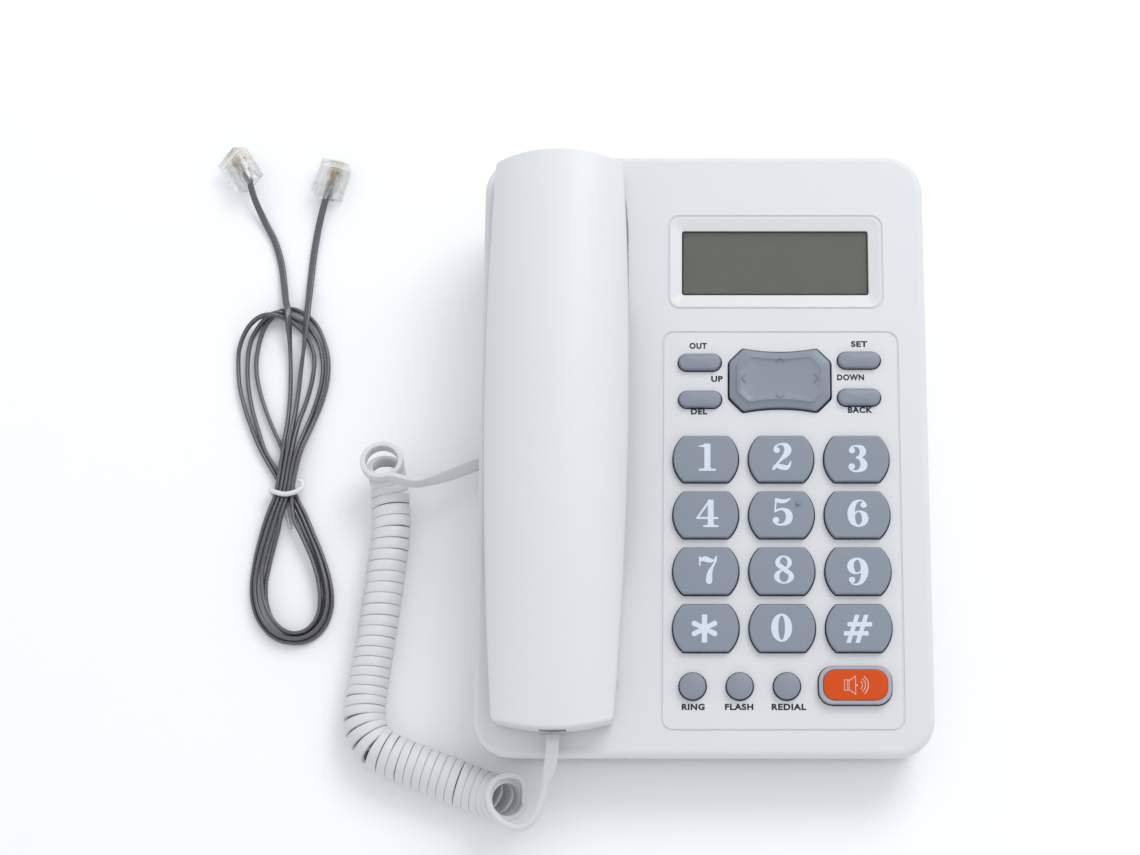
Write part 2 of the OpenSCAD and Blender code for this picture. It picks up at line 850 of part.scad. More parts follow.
base_top();
base_bottom();
feet();
base_screws();
lcd_lens();
lcd_panel();
main_pcb();
key_mat();
for (row = [0:3], column = [0:2])
    number_key(row, column);
for (k = side_keys)
    side_key([k[1], k[2]]);
for (k = round_keys)
    round_key([k[1], k[2]]);
nav_pivot();
nav_key();
speaker_key();
speaker_key_inlay();
hook_plunger();
hook_spring();
hook_switch();
base_speaker();
base_mic();
line_jack();
handset_jack();
handset_top();
handset_bottom();
ear_speaker();
handset_mic();
handset_socket();
handset_weight();
handset_screws();
curly_coil();
lead_handset();
lead_base();
plug_handset();
plug_base();
line_hank();
line_tail_left();
line_tail_right();
line_plug_left();
line_plug_right();
cord_tie();
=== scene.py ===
"""Looks of the corded desk telephone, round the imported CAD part. Lengths are in millimetres until build()."""

import json
import math

import bmesh
import bpy
import numpy as np
from mathutils import Matrix, Vector
from mathutils.bvhtree import BVHTree


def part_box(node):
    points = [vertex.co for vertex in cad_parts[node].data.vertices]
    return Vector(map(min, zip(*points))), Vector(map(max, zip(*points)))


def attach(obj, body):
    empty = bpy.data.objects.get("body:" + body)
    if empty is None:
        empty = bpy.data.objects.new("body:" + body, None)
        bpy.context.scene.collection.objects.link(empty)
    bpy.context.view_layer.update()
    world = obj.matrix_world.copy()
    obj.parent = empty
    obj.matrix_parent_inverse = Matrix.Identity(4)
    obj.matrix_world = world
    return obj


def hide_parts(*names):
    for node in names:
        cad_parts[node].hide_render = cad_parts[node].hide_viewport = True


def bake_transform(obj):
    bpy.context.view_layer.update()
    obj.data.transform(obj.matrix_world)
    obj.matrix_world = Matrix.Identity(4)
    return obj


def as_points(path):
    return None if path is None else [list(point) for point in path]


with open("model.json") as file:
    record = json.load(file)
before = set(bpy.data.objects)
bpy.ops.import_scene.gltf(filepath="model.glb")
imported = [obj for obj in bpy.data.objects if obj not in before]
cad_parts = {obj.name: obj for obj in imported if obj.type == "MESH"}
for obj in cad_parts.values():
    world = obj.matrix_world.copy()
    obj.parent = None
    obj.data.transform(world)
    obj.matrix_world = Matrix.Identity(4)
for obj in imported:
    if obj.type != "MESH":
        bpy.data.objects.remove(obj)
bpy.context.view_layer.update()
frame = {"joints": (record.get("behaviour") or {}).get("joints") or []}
MM = 0.001
scene = bpy.context.scene

# ---- frames

lift = next(j for j in frame["joints"] if j["name"] == "handset_lift")
TILT = math.atan2(-lift["axis"][1], lift["axis"][2])
HALF_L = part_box("base_top")[1].y / MM
BODY_L = 2 * HALF_L / math.cos(TILT)
FRONT_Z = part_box("base_top")[1].z / MM - BODY_L * math.sin(TILT)
COS, SIN = math.cos(TILT), math.sin(TILT)


def face(points):
    """Points (u, v, w) on the tilted face to X, Y, Z."""
    p = np.asarray(points, float)
    u, v, w = p[..., 0], p[..., 1], p[..., 2]
    return np.stack([u, v * COS - w * SIN - HALF_L, v * SIN + w * COS + FRONT_Z], -1)


def build(name, verts, faces, material=None, smooth=35):
    """A mesh object from points in millimetres."""
    mesh = bpy.data.meshes.new(name)
    points = [tuple(float(c) * MM for c in v) for v in verts]
    mesh.from_pydata(points, [], [tuple(int(i) for i in f) for f in faces])
    mesh.validate()
    bm = bmesh.new()
    bm.from_mesh(mesh)
    bmesh.ops.recalc_face_normals(bm, faces=bm.faces[:])
    bm.to_mesh(mesh)
    bm.free()
    obj = bpy.data.objects.new(name, mesh)
    scene.collection.objects.link(obj)
    shade(obj, smooth)
    if material:
        mesh.materials.append(material)
    return obj


def shade(obj, angle):
    """Smooth shading, sharp over edges that turn by more than angle degrees."""
    mesh = obj.data
    mesh.polygons.foreach_set("use_smooth", [True] * len(mesh.polygons))
    mesh.set_sharp_from_angle(angle=math.radians(angle))


# ---- materials


def material(name, colour, roughness, grain, bump, mottle, **sockets):
    """Plastic or metal with a fine grain: noise moves the colour and the roughness a little, and the bump."""
    m = bpy.data.materials.new(name)
    m.use_nodes = True
    links = m.node_tree.links
    shader = m.node_tree.nodes["Principled BSDF"]
    for key, value in sockets.items():
        shader.inputs[key.replace("_", " ")].default_value = value

    def node(kind, wires, **values):
        new = m.node_tree.nodes.new("ShaderNode" + kind)
        for key, value in values.items():
            new.inputs[key.replace("_", " ")].default_value = value
        for key, output in wires.items():
            links.new(output, new.inputs[key])
        return new

    where = node("TexCoord", {}).outputs["Object"]
    fine = node("TexNoise", {"Vector": where}, Scale=grain, Detail=3).outputs["Fac"]
    broad = node("TexNoise", {"Vector": where}, Scale=45, Detail=4).outputs["Fac"]
    tone = node("MapRange", {"Value": broad}, To_Min=1 - mottle, To_Max=1 + mottle)
    paint = node("VectorMath", {})
    paint.operation = "SCALE"
    paint.inputs[0].default_value = colour
    links.new(tone.outputs["Result"], paint.inputs["Scale"])
    links.new(paint.outputs["Vector"], shader.inputs["Base Color"])
    rough = node("MapRange", {"Value": fine}, To_Min=max(roughness - 0.05, 0.01), To_Max=roughness + 0.05)
    links.new(rough.outputs["Result"], shader.inputs["Roughness"])
    raised = node("Bump", {"Height": fine}, Strength=bump, Distance=0.0002)
    links.new(raised.outputs["Normal"], shader.inputs["Normal"])
    return m


WHITE = material("shell_white", (0.685, 0.695, 0.71), 0.42, 2200, 0.10, 0.012)
HANDSET_WHITE = material("handset_white", (0.70, 0.71, 0.73), 0.42, 1800, 0.12, 0.012)
GREY = material("key_grey", (0.228, 0.257, 0.316), 0.42, 1600, 0.10, 0.03)
ORANGE = material("key_orange", (0.62, 0.068, 0.002), 0.40, 1400, 0.08, 0.03, Specular_IOR_Level=0.25)
NAV_MARK = material("key_mark", (0.165, 0.19, 0.235), 0.40, 1600, 0.10, 0.03)
RIM = material("key_rim", (0.36, 0.39, 0.45), 0.40, 1600, 0.10, 0.03)
PRINT = material("key_print", (0.62, 0.69, 0.80), 0.5, 1500, 0.05, 0.02)
ICON = material("speaker_icon", (0.62, 0.40, 0.38), 0.5, 1500, 0.05, 0.02)
# Black for the printed words, also used for the painted shade ring round the LCD glass
INK_AND_PAINTED_SHADE = material("label_print", (0.006, 0.006, 0.007), 0.5, 1500, 0.05, 0.05)
CURLY = material("curly_cord", (0.66, 0.665, 0.68), 0.48, 1500, 0.08, 0.02)
GREY_CORD = material("line_cord", (0.085, 0.085, 0.088), 0.27, 1800, 0.10, 0.12, Specular_IOR_Level=0.8)
TIE = material("cord_tie", (0.72, 0.73, 0.75), 0.40, 1500, 0.06, 0.03)
CLEAR = material(
    "clear_plastic", (1.0, 1.0, 1.0), 0.06, 700, 0.02, 0.0,
    Transmission_Weight=1.0, IOR=1.42, Alpha=0.62, Coat_Weight=0.6,
)
BRASS = material("brass", (0.62, 0.40, 0.12), 0.28, 900, 0.05, 0.06, Metallic=1.0)
BLACK = material("black_plastic", (0.02, 0.02, 0.022), 0.45, 1200, 0.10, 0.05)
RUBBER = material("rubber_black", (0.018, 0.018, 0.02), 0.75, 1400, 0.25, 0.08)
STEEL = material("steel", (0.55, 0.56, 0.58), 0.30, 1500, 0.06, 0.04, Metallic=1.0)
BOARD = material("circuit_board", (0.03, 0.12, 0.05), 0.45, 800, 0.08, 0.10)
SILICONE = material("silicone", (0.45, 0.47, 0.50), 0.60, 1200, 0.10, 0.04)
LCD_GLASS = material(
    "lcd_glass", (0.62, 0.66, 0.58), 0.12, 500, 0.01, 0.01, Transmission_Weight=0.9, IOR=1.45,
)
LCD_PANEL = material("lcd_panel", (0.090, 0.097, 0.067), 0.42, 2500, 0.05, 0.10)

# ---- curves and sweeps


def unit(v):
    return v / np.maximum(np.linalg.norm(v, axis=-1, keepdims=True), 1e-9)


def spline(points, step):
    """Catmull-Rom curve through rows of three or more columns, at even steps along the first three."""
    p = np.asarray(points, float)
    p = np.vstack([2 * p[0] - p[1], p, 2 * p[-1] - p[-2]])
    t = np.linspace(0, 1, 24, endpoint=False)[:, None]
    out = []
    for a, b, c, d in zip(p[:-3], p[1:-2], p[2:-1], p[3:]):
        bend, twist = 2 * a - 5 * b + 4 * c - d, 3 * b - a - 3 * c + d
        out.append(0.5 * (2 * b + (c - a) * t + bend * t**2 + twist * t**3))
    out = np.vstack(out + [p[-2][None]])
    s = np.concatenate([[0], np.cumsum(np.linalg.norm(np.diff(out[:, :3], axis=0), axis=1))])
    at = np.linspace(0, s[-1], max(int(s[-1] / step) + 1, 2))
    return np.stack([np.interp(at, s, out[:, k]) for k in range(out.shape[1])], 1)


def length_of(path):
    return float(np.linalg.norm(np.diff(path, axis=0), axis=1).sum())


def bands(n, rings, count):
    """Quads between the first count rings of n points and the ring after each."""
    faces = []
    for i in range(count):
        here, there = i * n, (i + 1) % rings * n
        faces += [[here + k, here + (k + 1) % n, there + (k + 1) % n, there + k] for k in range(n)]
    return faces


def loft(name, rings, material=None, smooth=35):
    """A closed solid through rings of equal counts, capped at both ends."""
    n, m = len(rings[0]), len(rings)
    caps = [list(range(n))[::-1], [(m - 1) * n + k for k in range(n)]]
    return build(name, np.vstack(rings), bands(n, m, m - 1) + caps, material, smooth)


def hoop(name, rings):
    """A closed solid whose rings also join last to first, as a groove does."""
    return build(name, np.vstack(rings), bands(len(rings[0]), len(rings), len(rings)))


def sweep(name, path, across, section, material, smooth):
    """section(i) gives points (along `across`, along the other side) for ring i."""
    across = np.asarray(across, float)
    t = unit(np.gradient(path, axis=0))
    across = unit(across - t * (across * t).sum(1, keepdims=True))
    other = np.cross(t, across)
    rings = []
    for i in range(len(path)):
        q = section(i)
        rings.append(path[i] + np.outer(q[:, 0], across[i]) + np.outer(q[:, 1], other[i]))
    return loft(name, rings, material, smooth)


def flat_section(width, thick, corner, crown):
    """A rounded flat strip: the first axis is its width, the second its thickness."""
    a, b = width / 2, thick / 2
    c = min(corner, b * 0.95, a * 0.95)
    out = []
    for sx, sy, start in ((1, 1, 0), (-1, 1, 90), (-1, -1, 180), (1, -1, 270)):
        for k in range(3):
            g = math.radians(start + 45 * k)
            out.append((sx * (a - c) + c * math.cos(g), sy * (b - c) + c * math.sin(g)))
        if start in (0, 180):
            out.append((0, (b + crown) * sy))
    return np.array(out)


# ---- camera

camera_data = bpy.data.cameras.new("camera")
camera = bpy.data.objects.new("camera", camera_data)
scene.collection.objects.link(camera)
camera.location = (-0.00025, -0.23108, 0.75481)
camera.rotation_euler = (math.radians(18.177), 0, 0)
camera_data.lens = 75.79
camera_data.sensor_width = 36
camera_data.shift_x = -0.1167
camera_data.clip_start = 0.05
camera_data.clip_end = 20
scene.camera = camera
scene.view_settings.view_transform = "Standard"

# ---- curly cord

COIL_ROUTE = [
    (-103.4, 0.4, 17.4), (-103.2, -0.3, 14.4), (-102.9, -1.8, 11.2), (-102.4, -4.6, 8.4), (-101.9, -8.6, 6.9),
    (-101.5, -13.6, 6.6), (-101.2, -20.4, 6.6), (-101.5, -27.1, 6.6), (-102.2, -33.8, 6.6),
    (-102.8, -40.5, 6.6),
    (-103.5, -47.2, 6.7), (-104.2, -53.8, 6.7), (-105, -60.3, 6.8), (-105.8, -66.8, 6.9), (-106.6, -73.1, 7),
    (-107.1, -78.2, 7.1), (-106.7, -84.4, 7.2), (-103.3, -90.6, 7.2), (-97, -94.4, 7.2), (-90.3, -97.2, 7.2),
    (-83.8, -99.8, 7.2), (-77.3, -102.4, 7.2), (-71.6, -104.6, 7.3), (-66.6, -106.6, 8.5), (-62.9, -108.1, 11),
    (-60.6, -109.1, 14.2), (-59.6, -109.6, 17),
]
LEAD_BASE_ROUTE = [
    (-68.2, 1.5, 10), (-71.2, 1.5, 10), (-76.5, -0.6, 10.6), (-82.7, -3.6, 12.3), (-88.7, -5.9, 14.6),
    (-93.5, -7.2, 16.4),
]
LAST_TURN = [
    (-56.2, -103.2, 15.2), (-60.6, -101.9, 16), (-64.6, -103.8, 16.6), (-66.4, -107.9, 17), (-65.6, -112, 17.2),
    (-63.4, -115.2, 17.2),
    (-60.2, -117.4, 17.2), (-56.6, -118.3, 17.4), (-53.4, -117, 18), (-51, -113.9, 18.8), (-49.5, -109.7, 20),
]
LEAD_HANDSET_ROUTE = [
    (-48.4, -104.9, 22), (-46.7, -98.6, 26.6), (-46.2, -94.6, 29.3), (-46.2, -91.6, 29.6),
]


TURN_STEPS = 28


def curly_cord():
    axis = spline(COIL_ROUTE, 0.2)
    s = np.arange(len(axis)) * length_of(axis) / (len(axis) - 1)
    t = unit(np.gradient(axis, axis=0))
    bend = np.linalg.norm(np.gradient(t, axis=0), axis=1) / (s[1] - s[0])
    bend = np.convolve(np.pad(bend, 15, mode="edge"), np.ones(31) / 31, "valid")
    # Two directions across the axis that don't twist along it
    a = np.zeros_like(t)
    side = np.array([0.35, -1.0, 0.0])
    for i in range(len(t)):
        side = unit(side - t[i] * side.dot(t[i]))
        a[i] = side
    b = np.cross(t, a)
    total = s[-1]
    places = [0, 2.2, 4.0, 10, 70, 105, total - 14, total - 6, total - 2.5, total]
    radius = np.interp(s, places, [6.9, 6.2, 4.9, 5.35, 5.5, 6.15, 6.15, 6.0, 5.5, 5.2])
    # The turns spread where the axis bends
    pitch = np.interp(s, [0, 55, 88, total], [3.62, 3.6, 2.78, 2.78])
    pitch = pitch * (1 + 0.50 * np.minimum(bend, 0.11) * radius)
    phase = np.concatenate([[0], np.cumsum(np.diff(s) * 2 * math.pi / pitch[:-1])])
    # The last turn ends on its right side, where the lead leaves for the handset
    right = np.array([1.0, -0.25, 0.0])
    wanted = math.atan2(right.dot(b[-1]), right.dot(a[-1]))
    stop = wanted + 2 * math.pi * math.floor((phase[-1] - wanted) / (2 * math.pi))
    at = np.arange(0, stop, 2 * math.pi / TURN_STEPS)
    at = np.append(at[:-1], stop)
    where = np.interp(at, phase, s)
    pick = lambda rows: np.stack([np.interp(where, s, rows[:, k]) for k in range(3)], 1)
    r = np.interp(where, s, radius)[:, None]
    out = unit(np.cos(at)[:, None] * pick(a) + np.sin(at)[:, None] * pick(b))
    coil = pick(axis) + r * out
    # Leads run on from the coil's two ends along its own direction
    first = spline(np.vstack([LEAD_BASE_ROUTE, coil[0:2]]), 0.9)[:-1]
    first = first[: np.argmin(np.linalg.norm(first - coil[0], axis=1))]
    last = spline(np.vstack([coil[-2:], LAST_TURN, LEAD_HANDSET_ROUTE]), 0.9)[1:]
    last = last[np.argmin(np.linalg.norm(last[:6] - coil[-1], axis=1)) + 1 :]
    path = np.vstack([first, coil, last])
    # The strip's thickness direction: up at the plugs, outwards from the axis on the coil
    ease = lambda x: x * x * (3 - 2 * x)
    f = ease(np.clip(np.linspace(0, 1, len(first)) * 1.15 - 0.1, 0, 1))[:, None]
    g = ease(np.clip(np.linspace(0, 1, len(last)) * 3.2 - 2.1, 0, 1))[:, None]
    h = np.linspace(0, 1, len(last))[:, None] ** 0.25
    around = unit((last - (-58, -110.3, 0)) * (1, 1, 0) + (0, 0, 2.0))
    near_base = unit((1 - f) * np.array([0.0, 0.0, 1.0]) + f * out[0])
    near_handset = unit((1 - g) * ((1 - h) * out[-1] + h * around) + g * np.array([0.0, -0.6, 0.8]))
    thick = np.vstack([near_base, out, near_handset])
    wide = unit(np.cross(unit(np.gradient(path, axis=0)), thick))
    # A turn is as wide as the room between its two neighbours allows
    n, lo, hi = len(path), len(first), len(first) + len(coil)
    room = np.full(n, 9.0)
    gap = np.linalg.norm(coil[TURN_STEPS:] - coil[:-TURN_STEPS], axis=1)
    room[lo + TURN_STEPS : hi] = np.minimum(room[lo + TURN_STEPS : hi], gap)
    room[lo : hi - TURN_STEPS] = np.minimum(room[lo : hi - TURN_STEPS], gap)
    width = np.minimum(room - 0.06, 3.6)
    width = np.convolve(np.pad(width, 4, mode="edge"), np.ones(9) / 9, "valid")
    width[:lo] = np.linspace(3.7, width[lo], lo)
    width[hi:] = np.interp(np.linspace(0, 1, n - hi), [0, 0.1, 0.6, 1], [width[hi - 1], 3.0, 3.6, 4.0])
    obj = sweep("curly_cord", path, wide, lambda i: flat_section(width[i], 1.7, 0.34, 0.05), CURLY, 60)
    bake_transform(obj)
    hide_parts("curly_coil", "lead_base", "lead_handset")
    return obj, path


curly, curly_path = curly_cord()

# ---- line cord

# The lower loop of the hank seen from above: its outermost and innermost strand
OUTER = [
    (-141.8, -11.9), (-143.3, -16.3), (-145.2, -24.2), (-146.3, -31), (-146.7, -37.7), (-145.9, -43.9),
    (-143.7, -49.4),
    (-140.2, -53.7), (-136.3, -56), (-132.1, -56.7), (-128, -56.4), (-124.3, -54.4), (-121.4, -50.9),
    (-119.8, -45.9),
    (-119.7, -40.8), (-121.1, -34.1), (-123.8, -26.6), (-127.3, -18.7), (-129.8, -13.1),
]
INNER = [
    (-137.5, -14.7), (-138.3, -19.5), (-140.2, -28.2), (-140.9, -31.7), (-141.5, -36.1), (-141.2, -42),
    (-139.5, -47.4),
    (-137.2, -50.5), (-134.6, -52.7), (-131.5, -53.7), (-128.5, -53.2), (-126, -51.3), (-124.4, -48.6),
    (-123.7, -45.1),
    (-123.8, -40.8), (-124.7, -36.1), (-127.1, -29), (-131, -21), (-133.5, -15.9),
]
LOW, HIGH = 1.15, 3.4


def lower_loop(shares, heights):
    """One turn of the lower loop, left to right; shares and heights are given at places 0 to 18 along it."""
    f = np.interp(range(19), [k for k, _ in shares], [v for _, v in shares])
    z = np.interp(range(19), [k for k, _ in heights], [v for _, v in heights])
    return [(*(np.array(OUTER[i]) * (1 - f[i]) + np.array(INNER[i]) * f[i]), z[i], 0) for i in range(19)]


def tied(x, height=HIGH):
    """Where a strand passes through the wire tie."""
    return [(x, -7, height, 0)]


def on_edge(rows):
    return [(*row, 0) for row in rows]


# Strands of the upper loops as (x, y, height), all on their edge
LOOP_A = [
    (-142.2, 2, LOW), (-145.7, 7.9, LOW), (-148.6, 14, LOW), (-151.9, 22.4, LOW), (-154.2, 30.5, LOW),
    (-155.1, 37.8, LOW), (-155.1, 43.5, 1.6), (-153.6, 48.4, 2.7), (-151.1, 51.8, 4.3), (-147.8, 54, 5.4),
    (-144.4, 54.7, 5.3), (-141.3, 54.4, 3.9), (-138.5, 53.5, 2.2), (-135.7, 51.4, 1.3), (-133.3, 48.8, LOW),
    (-131.2, 45.1, LOW), (-130, 41, LOW), (-129.9, 36.1, LOW), (-130.6, 30.5, LOW), (-132, 24.4, 1.25),
    (-133.5, 19.2, 1.8), (-134.5, 13.8, 2.7), (-135.2, 8.5, 3.3), (-136, 2.5, HIGH),
]
LOOP_B = [
    (-140.6, 2, LOW), (-144.4, 8.1, LOW), (-147.1, 15.2, LOW), (-149.6, 22.8, LOW), (-151.3, 30.5, LOW),
    (-152, 36.9, LOW), (-152, 42.6, LOW), (-151.3, 47.1, LOW), (-149.9, 50.4, 1.2), (-147.8, 53.3, 2),
    (-145.2, 55.3, 3.2), (-142.2, 56.2, 3.2), (-139, 55.7, 1.7), (-136.3, 54.3, LOW), (-133.5, 52.7, LOW),
    (-131.1, 50, LOW), (-128.9, 46.3, LOW), (-127.5, 41.8, LOW), (-126.9, 36.9, LOW), (-127.2, 31.3, LOW),
    (-128.5, 25.2, LOW), (-130.1, 19.6, 1.4), (-131.8, 14, 2.3), (-133.3, 8.9, 3.2), (-134.7, 2.5, HIGH),
]
LOOP_C = [
    (-136.7, 2, LOW), (-139.2, 9.3, LOW), (-141.8, 14.8, LOW), (-144.8, 21.6, LOW), (-147.1, 28, LOW),
    (-148.6, 33.7, LOW), (-149.2, 39, LOW), (-148.8, 44.7, LOW), (-147.9, 49.2, LOW), (-146.8, 52.5, LOW),
    (-144.8, 55.3, LOW), (-142.6, 57.2, LOW), (-139.2, 58.1, LOW), (-136.9, 57.9, LOW), (-134.1, 56.4, LOW),
    (-131.7, 54.7, LOW), (-129.2, 51.6, LOW), (-127.1, 47.1, LOW), (-125.5, 41.8, LOW), (-125, 36.9, LOW),
    (-125.3, 31.3, LOW), (-126.6, 25.2, LOW), (-128.4, 19.6, 1.4), (-130.3, 14, 2.3), (-132, 8.9, 3.2),
    (-133.4, 2.5, HIGH),
]
# Tails as (x, y, height, roll): roll 0 stands on its edge, 90 lies flat
TAIL_LEFT = [
    (-154.2, 102.1, 5.8, 128), (-152.4, 96.6, 4.2, 120), (-149, 89.5, 1.7, 100), (-145.4, 82.6, 1.1, 90),
    (-142.8, 74.6, 1.1, 90),
    (-141.2, 66, 1.8, 90), (-140.1, 60, 3.4, 80), (-139.1, 56.6, 4.2, 70), (-138.8, 53.2, 4.4, 50),
    (-138.4, 49, 3.5, 25),
    (-137.9, 42.3, 1.9, 0), (-137.4, 34.2, 1.6, 0), (-137.2, 26.1, 1.7, 0), (-137.4, 18.1, 2.4, 0),
    (-137.9, 12.1, 3.2, 0),
    (-138.3, 7, HIGH, 0), (-138.7, 2.5, HIGH, 0),
]
TAIL_RIGHT = [
    (-128.4, 98.4, 3.4, 90), (-129.6, 93.4, 2.6, 90), (-130.9, 87, 1.4, 90), (-131.9, 78.6, 1.1, 90),
    (-132.5, 69, 1.1, 90),
    (-132.6, 62.8, 2.2, 85), (-132.7, 57, 3.3, 70), (-133, 49.6, 3.5, 45), (-133.4, 42.3, 3, 15),
    (-134, 36.2, 2.1, 0),
    (-134.5, 28.1, 1.8, 0), (-135.1, 21.3, 2.1, 0), (-135.9, 14.4, 3, 0), (-136.6, 8.1, HIGH, 0),
    (-137.3, 2.5, HIGH, 0),
]


def line_cord():
    # Left tail, first turn below, loop C, second turn, loop A, third, loop B, fourth, right tail
    turn_1 = lower_loop([(0, 0.10)], [(0, 3.3), (1, 2.8), (2, 1.9), (3, 1.3), (4, LOW)])
    turn_2 = lower_loop([(0, 0.39)], [(0, 3.35), (15, 3.35), (16, 2.5), (17, 1.4), (18, LOW)])
    turn_3 = lower_loop([(3, 0.68), (6, 0.97)], [(0, 3.35)])
    turn_4 = lower_loop([(11, 0.97), (14, 0.68)], [(0, 3.3), (1, 2.6), (2, 1.6), (3, LOW)])
    points = TAIL_LEFT + tied(-139.7) + turn_1 + tied(-133.6, LOW) + on_edge(LOOP_C) + tied(-134.5) + turn_3[::-1]
    points += tied(-137.1) + on_edge(LOOP_A[::-1]) + tied(-136.6, LOW) + turn_4[::-1] + tied(-135.8)
    points += on_edge(LOOP_B[::-1]) + tied(-135.1, LOW) + turn_2[::-1] + tied(-138.4) + TAIL_RIGHT[::-1]
    rows = spline(points, 1.2)
    path, roll = rows[:, :3], np.radians(rows[:, 3])
    t = unit(np.gradient(path, axis=0))
    side = unit(np.cross(t, [0, 0, 1]))
    up = np.cross(side, t)
    # The roll turns the strip the same way at both ends, whichever way the cord runs
    across = np.cos(roll)[:, None] * up + np.sin(roll)[:, None] * side
    section = flat_section(2.25, 1.22, 0.5, -0.10)
    obj = sweep("line_cord", path, across, lambda i: section, GREY_CORD, 70)
    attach(obj, "base")
    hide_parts("line_hank", "line_tail_left", "line_tail_right")
    return obj, path


line, line_path = line_cord()

# ---- solids


def flatten(obj):
    """Broad faces keep their own normals beside small rounded edges."""
    change = obj.modifiers.new("normals", "WEIGHTED_NORMAL")
    change.weight = 100
    change.keep_sharp = True
    return obj


def carve(obj, cutters, operation="DIFFERENCE", smooth=35):
    """Cuts closed solids away from a piece, or joins them to it, and deletes them."""
    for cutter in cutters:
        change = obj.modifiers.new("carve", "BOOLEAN")
        change.operation = operation
        change.solver = "MANIFOLD"
        change.object = cutter
    mesh = bpy.data.meshes.new_from_object(obj.evaluated_get(bpy.context.evaluated_depsgraph_get()))
    obj.modifiers.clear()
    obj.data = mesh
    for cutter in cutters:
        bpy.data.objects.remove(cutter)
    shade(obj, smooth)
    return obj


def loop(points, per=6):
    """A smooth closed curve through points."""
    p = np.asarray(points, float)
    after = np.roll(p, -1, 0)
    d = np.linalg.norm(after - p, axis=1)[:, None]
    s, before = (after - p) / d, np.roll(d, 1, 0)
    m = (np.roll(s, 1, 0) * d + s * before) / (d + before)
    t = np.linspace(0, 1, per, endpoint=False)[None, :, None]
    a, b, ma, mb = p[:, None], after[:, None], (m * d)[:, None], (np.roll(m, -1, 0) * d)[:, None]
    out = (2 * t**3 - 3 * t**2 + 1) * a + (t**3 - 2 * t**2 + t) * ma
    out = out + (3 * t**2 - 2 * t**3) * b + (t**3 - t**2) * mb
    return out.reshape(-1, 2)


def round_box(size, r, at=(0, 0), steps=7):
    x, y = size[0] / 2 - r, size[1] / 2 - r
    out = []
    for cx, cy, start in ((x, -y, -90), (x, y, 0), (-x, y, 90), (-x, -y, 180)):
        for a in np.radians(np.linspace(start, start + 90, steps)):
            out.append((at[0] + cx + r * math.cos(a), at[1] + cy + r * math.sin(a)))
    return np.array(out)


def at_w(outline, w):
    """An outline in (u, v) at height w on the face."""
    return face(np.column_stack([outline, np.full(len(outline), float(w))]))


def number_outline(grow=0.0):
    """Flat top and bottom, arc sides, corners a little rounded."""
    sagitta, chord, corner = 3.2, 7.3, 0.9
    r = (chord * chord + sagitta * sagitta) / (2 * sagitta)
    shift = 10.2 - r
    # Corner arcs sit inside both the flat edge and the side arc
    cy = chord - corner
    cx = shift + math.sqrt((r - corner) ** 2 - cy * cy)
    bend = math.atan2(cy, cx - shift)
    out = []
    for a in np.linspace(-bend, bend, 15):
        out.append((shift + (r + grow) * math.cos(a), (r + grow) * math.sin(a)))
    for a in np.linspace(bend, math.pi / 2, 6)[1:]:
        out.append((cx + (corner + grow) * math.cos(a), cy + (corner + grow) * math.sin(a)))
    right = np.array(out)
    lower = right[-5:][::-1] * [1, -1]
    half = np.vstack([lower, right])
    return np.vstack([half, -half])


def side_outline(grow=0.0):
    r = 2.6 + grow
    right = [(4.1 + r * math.cos(a), r * math.sin(a)) for a in np.linspace(-math.pi / 2, math.pi / 2, 19)]
    return np.vstack([right, -np.array(right)])


def round_outline(grow=0.0):
    r = 4.05 + grow
    return np.array([(r * math.cos(a), r * math.sin(a)) for a in np.linspace(0, 2 * math.pi, 40, endpoint=False)])


def speaker_outline(grow=0.0):
    return round_box((22.4 + 2 * grow, 11.6 + 2 * grow), 4.2 + grow)


NAV_HALF = (16, 10.1)


def nav_outline(grow=0.0):
    """An eight-sided key whose top and bottom edges are hollow."""
    x, y, cut = NAV_HALF[0] + grow, NAV_HALF[1] + grow, 4.4 + 0.4 * grow
    top = [((x - cut) * (1 - t), y - 1.2 * (1 - (t - 1) ** 2)) for t in np.linspace(0, 2, 19)]

    def corner(before, at, after, r=0.7):
        """A corner softened by three points."""
        before, at, after = map(np.array, (before, at, after))
        p, q = at + r * unit(before - at), at + r * unit(after - at)
        return [tuple(p), tuple(0.25 * p + 0.5 * at + 0.25 * q), tuple(q)]

    half = corner((x, 0), (x, y - cut), (x - cut, y)) + corner((x, y - cut), top[0], top[1]) + top[1:-1]
    half += corner(top[-2], top[-1], (-x, y - cut)) + corner((cut - x, y), (-x, y - cut), (-x, 0))
    return np.vstack([half, -np.array(half)])


def edge(r, steps=5):
    """Steps of a rounded edge, as (pull in, drop)."""
    return [(r - r * math.cos(a), r - r * math.sin(a)) for a in np.linspace(0, math.pi / 2, steps)]


# ---- base

# Middles of the keys and panels in (u, v)
ORDER = "1 2 3 4 5 6 7 8 9 star 0 hash".split()
NUMBERS = {n: (0.6 + 23.8 * (k % 3), 93.6 - 17.95 * (k // 3)) for k, n in enumerate(ORDER)}
SIDE_KEYS = {"out": (-1.3, 125.3), "del": (-1.2, 113.1), "set": (49.5, 126), "back": (49.4, 113.8)}
ROUND_KEYS = {"ring": (-3.5, 21.7), "flash": (11.1, 21.7), "redial": (25.7, 21.7)}
NAV, SPEAKER, LCD, PAD = (24.2, 119.4), (46.8, 21.9), (23, 158.9), (24.4, 71.8)
HANDSET_U = -46.2

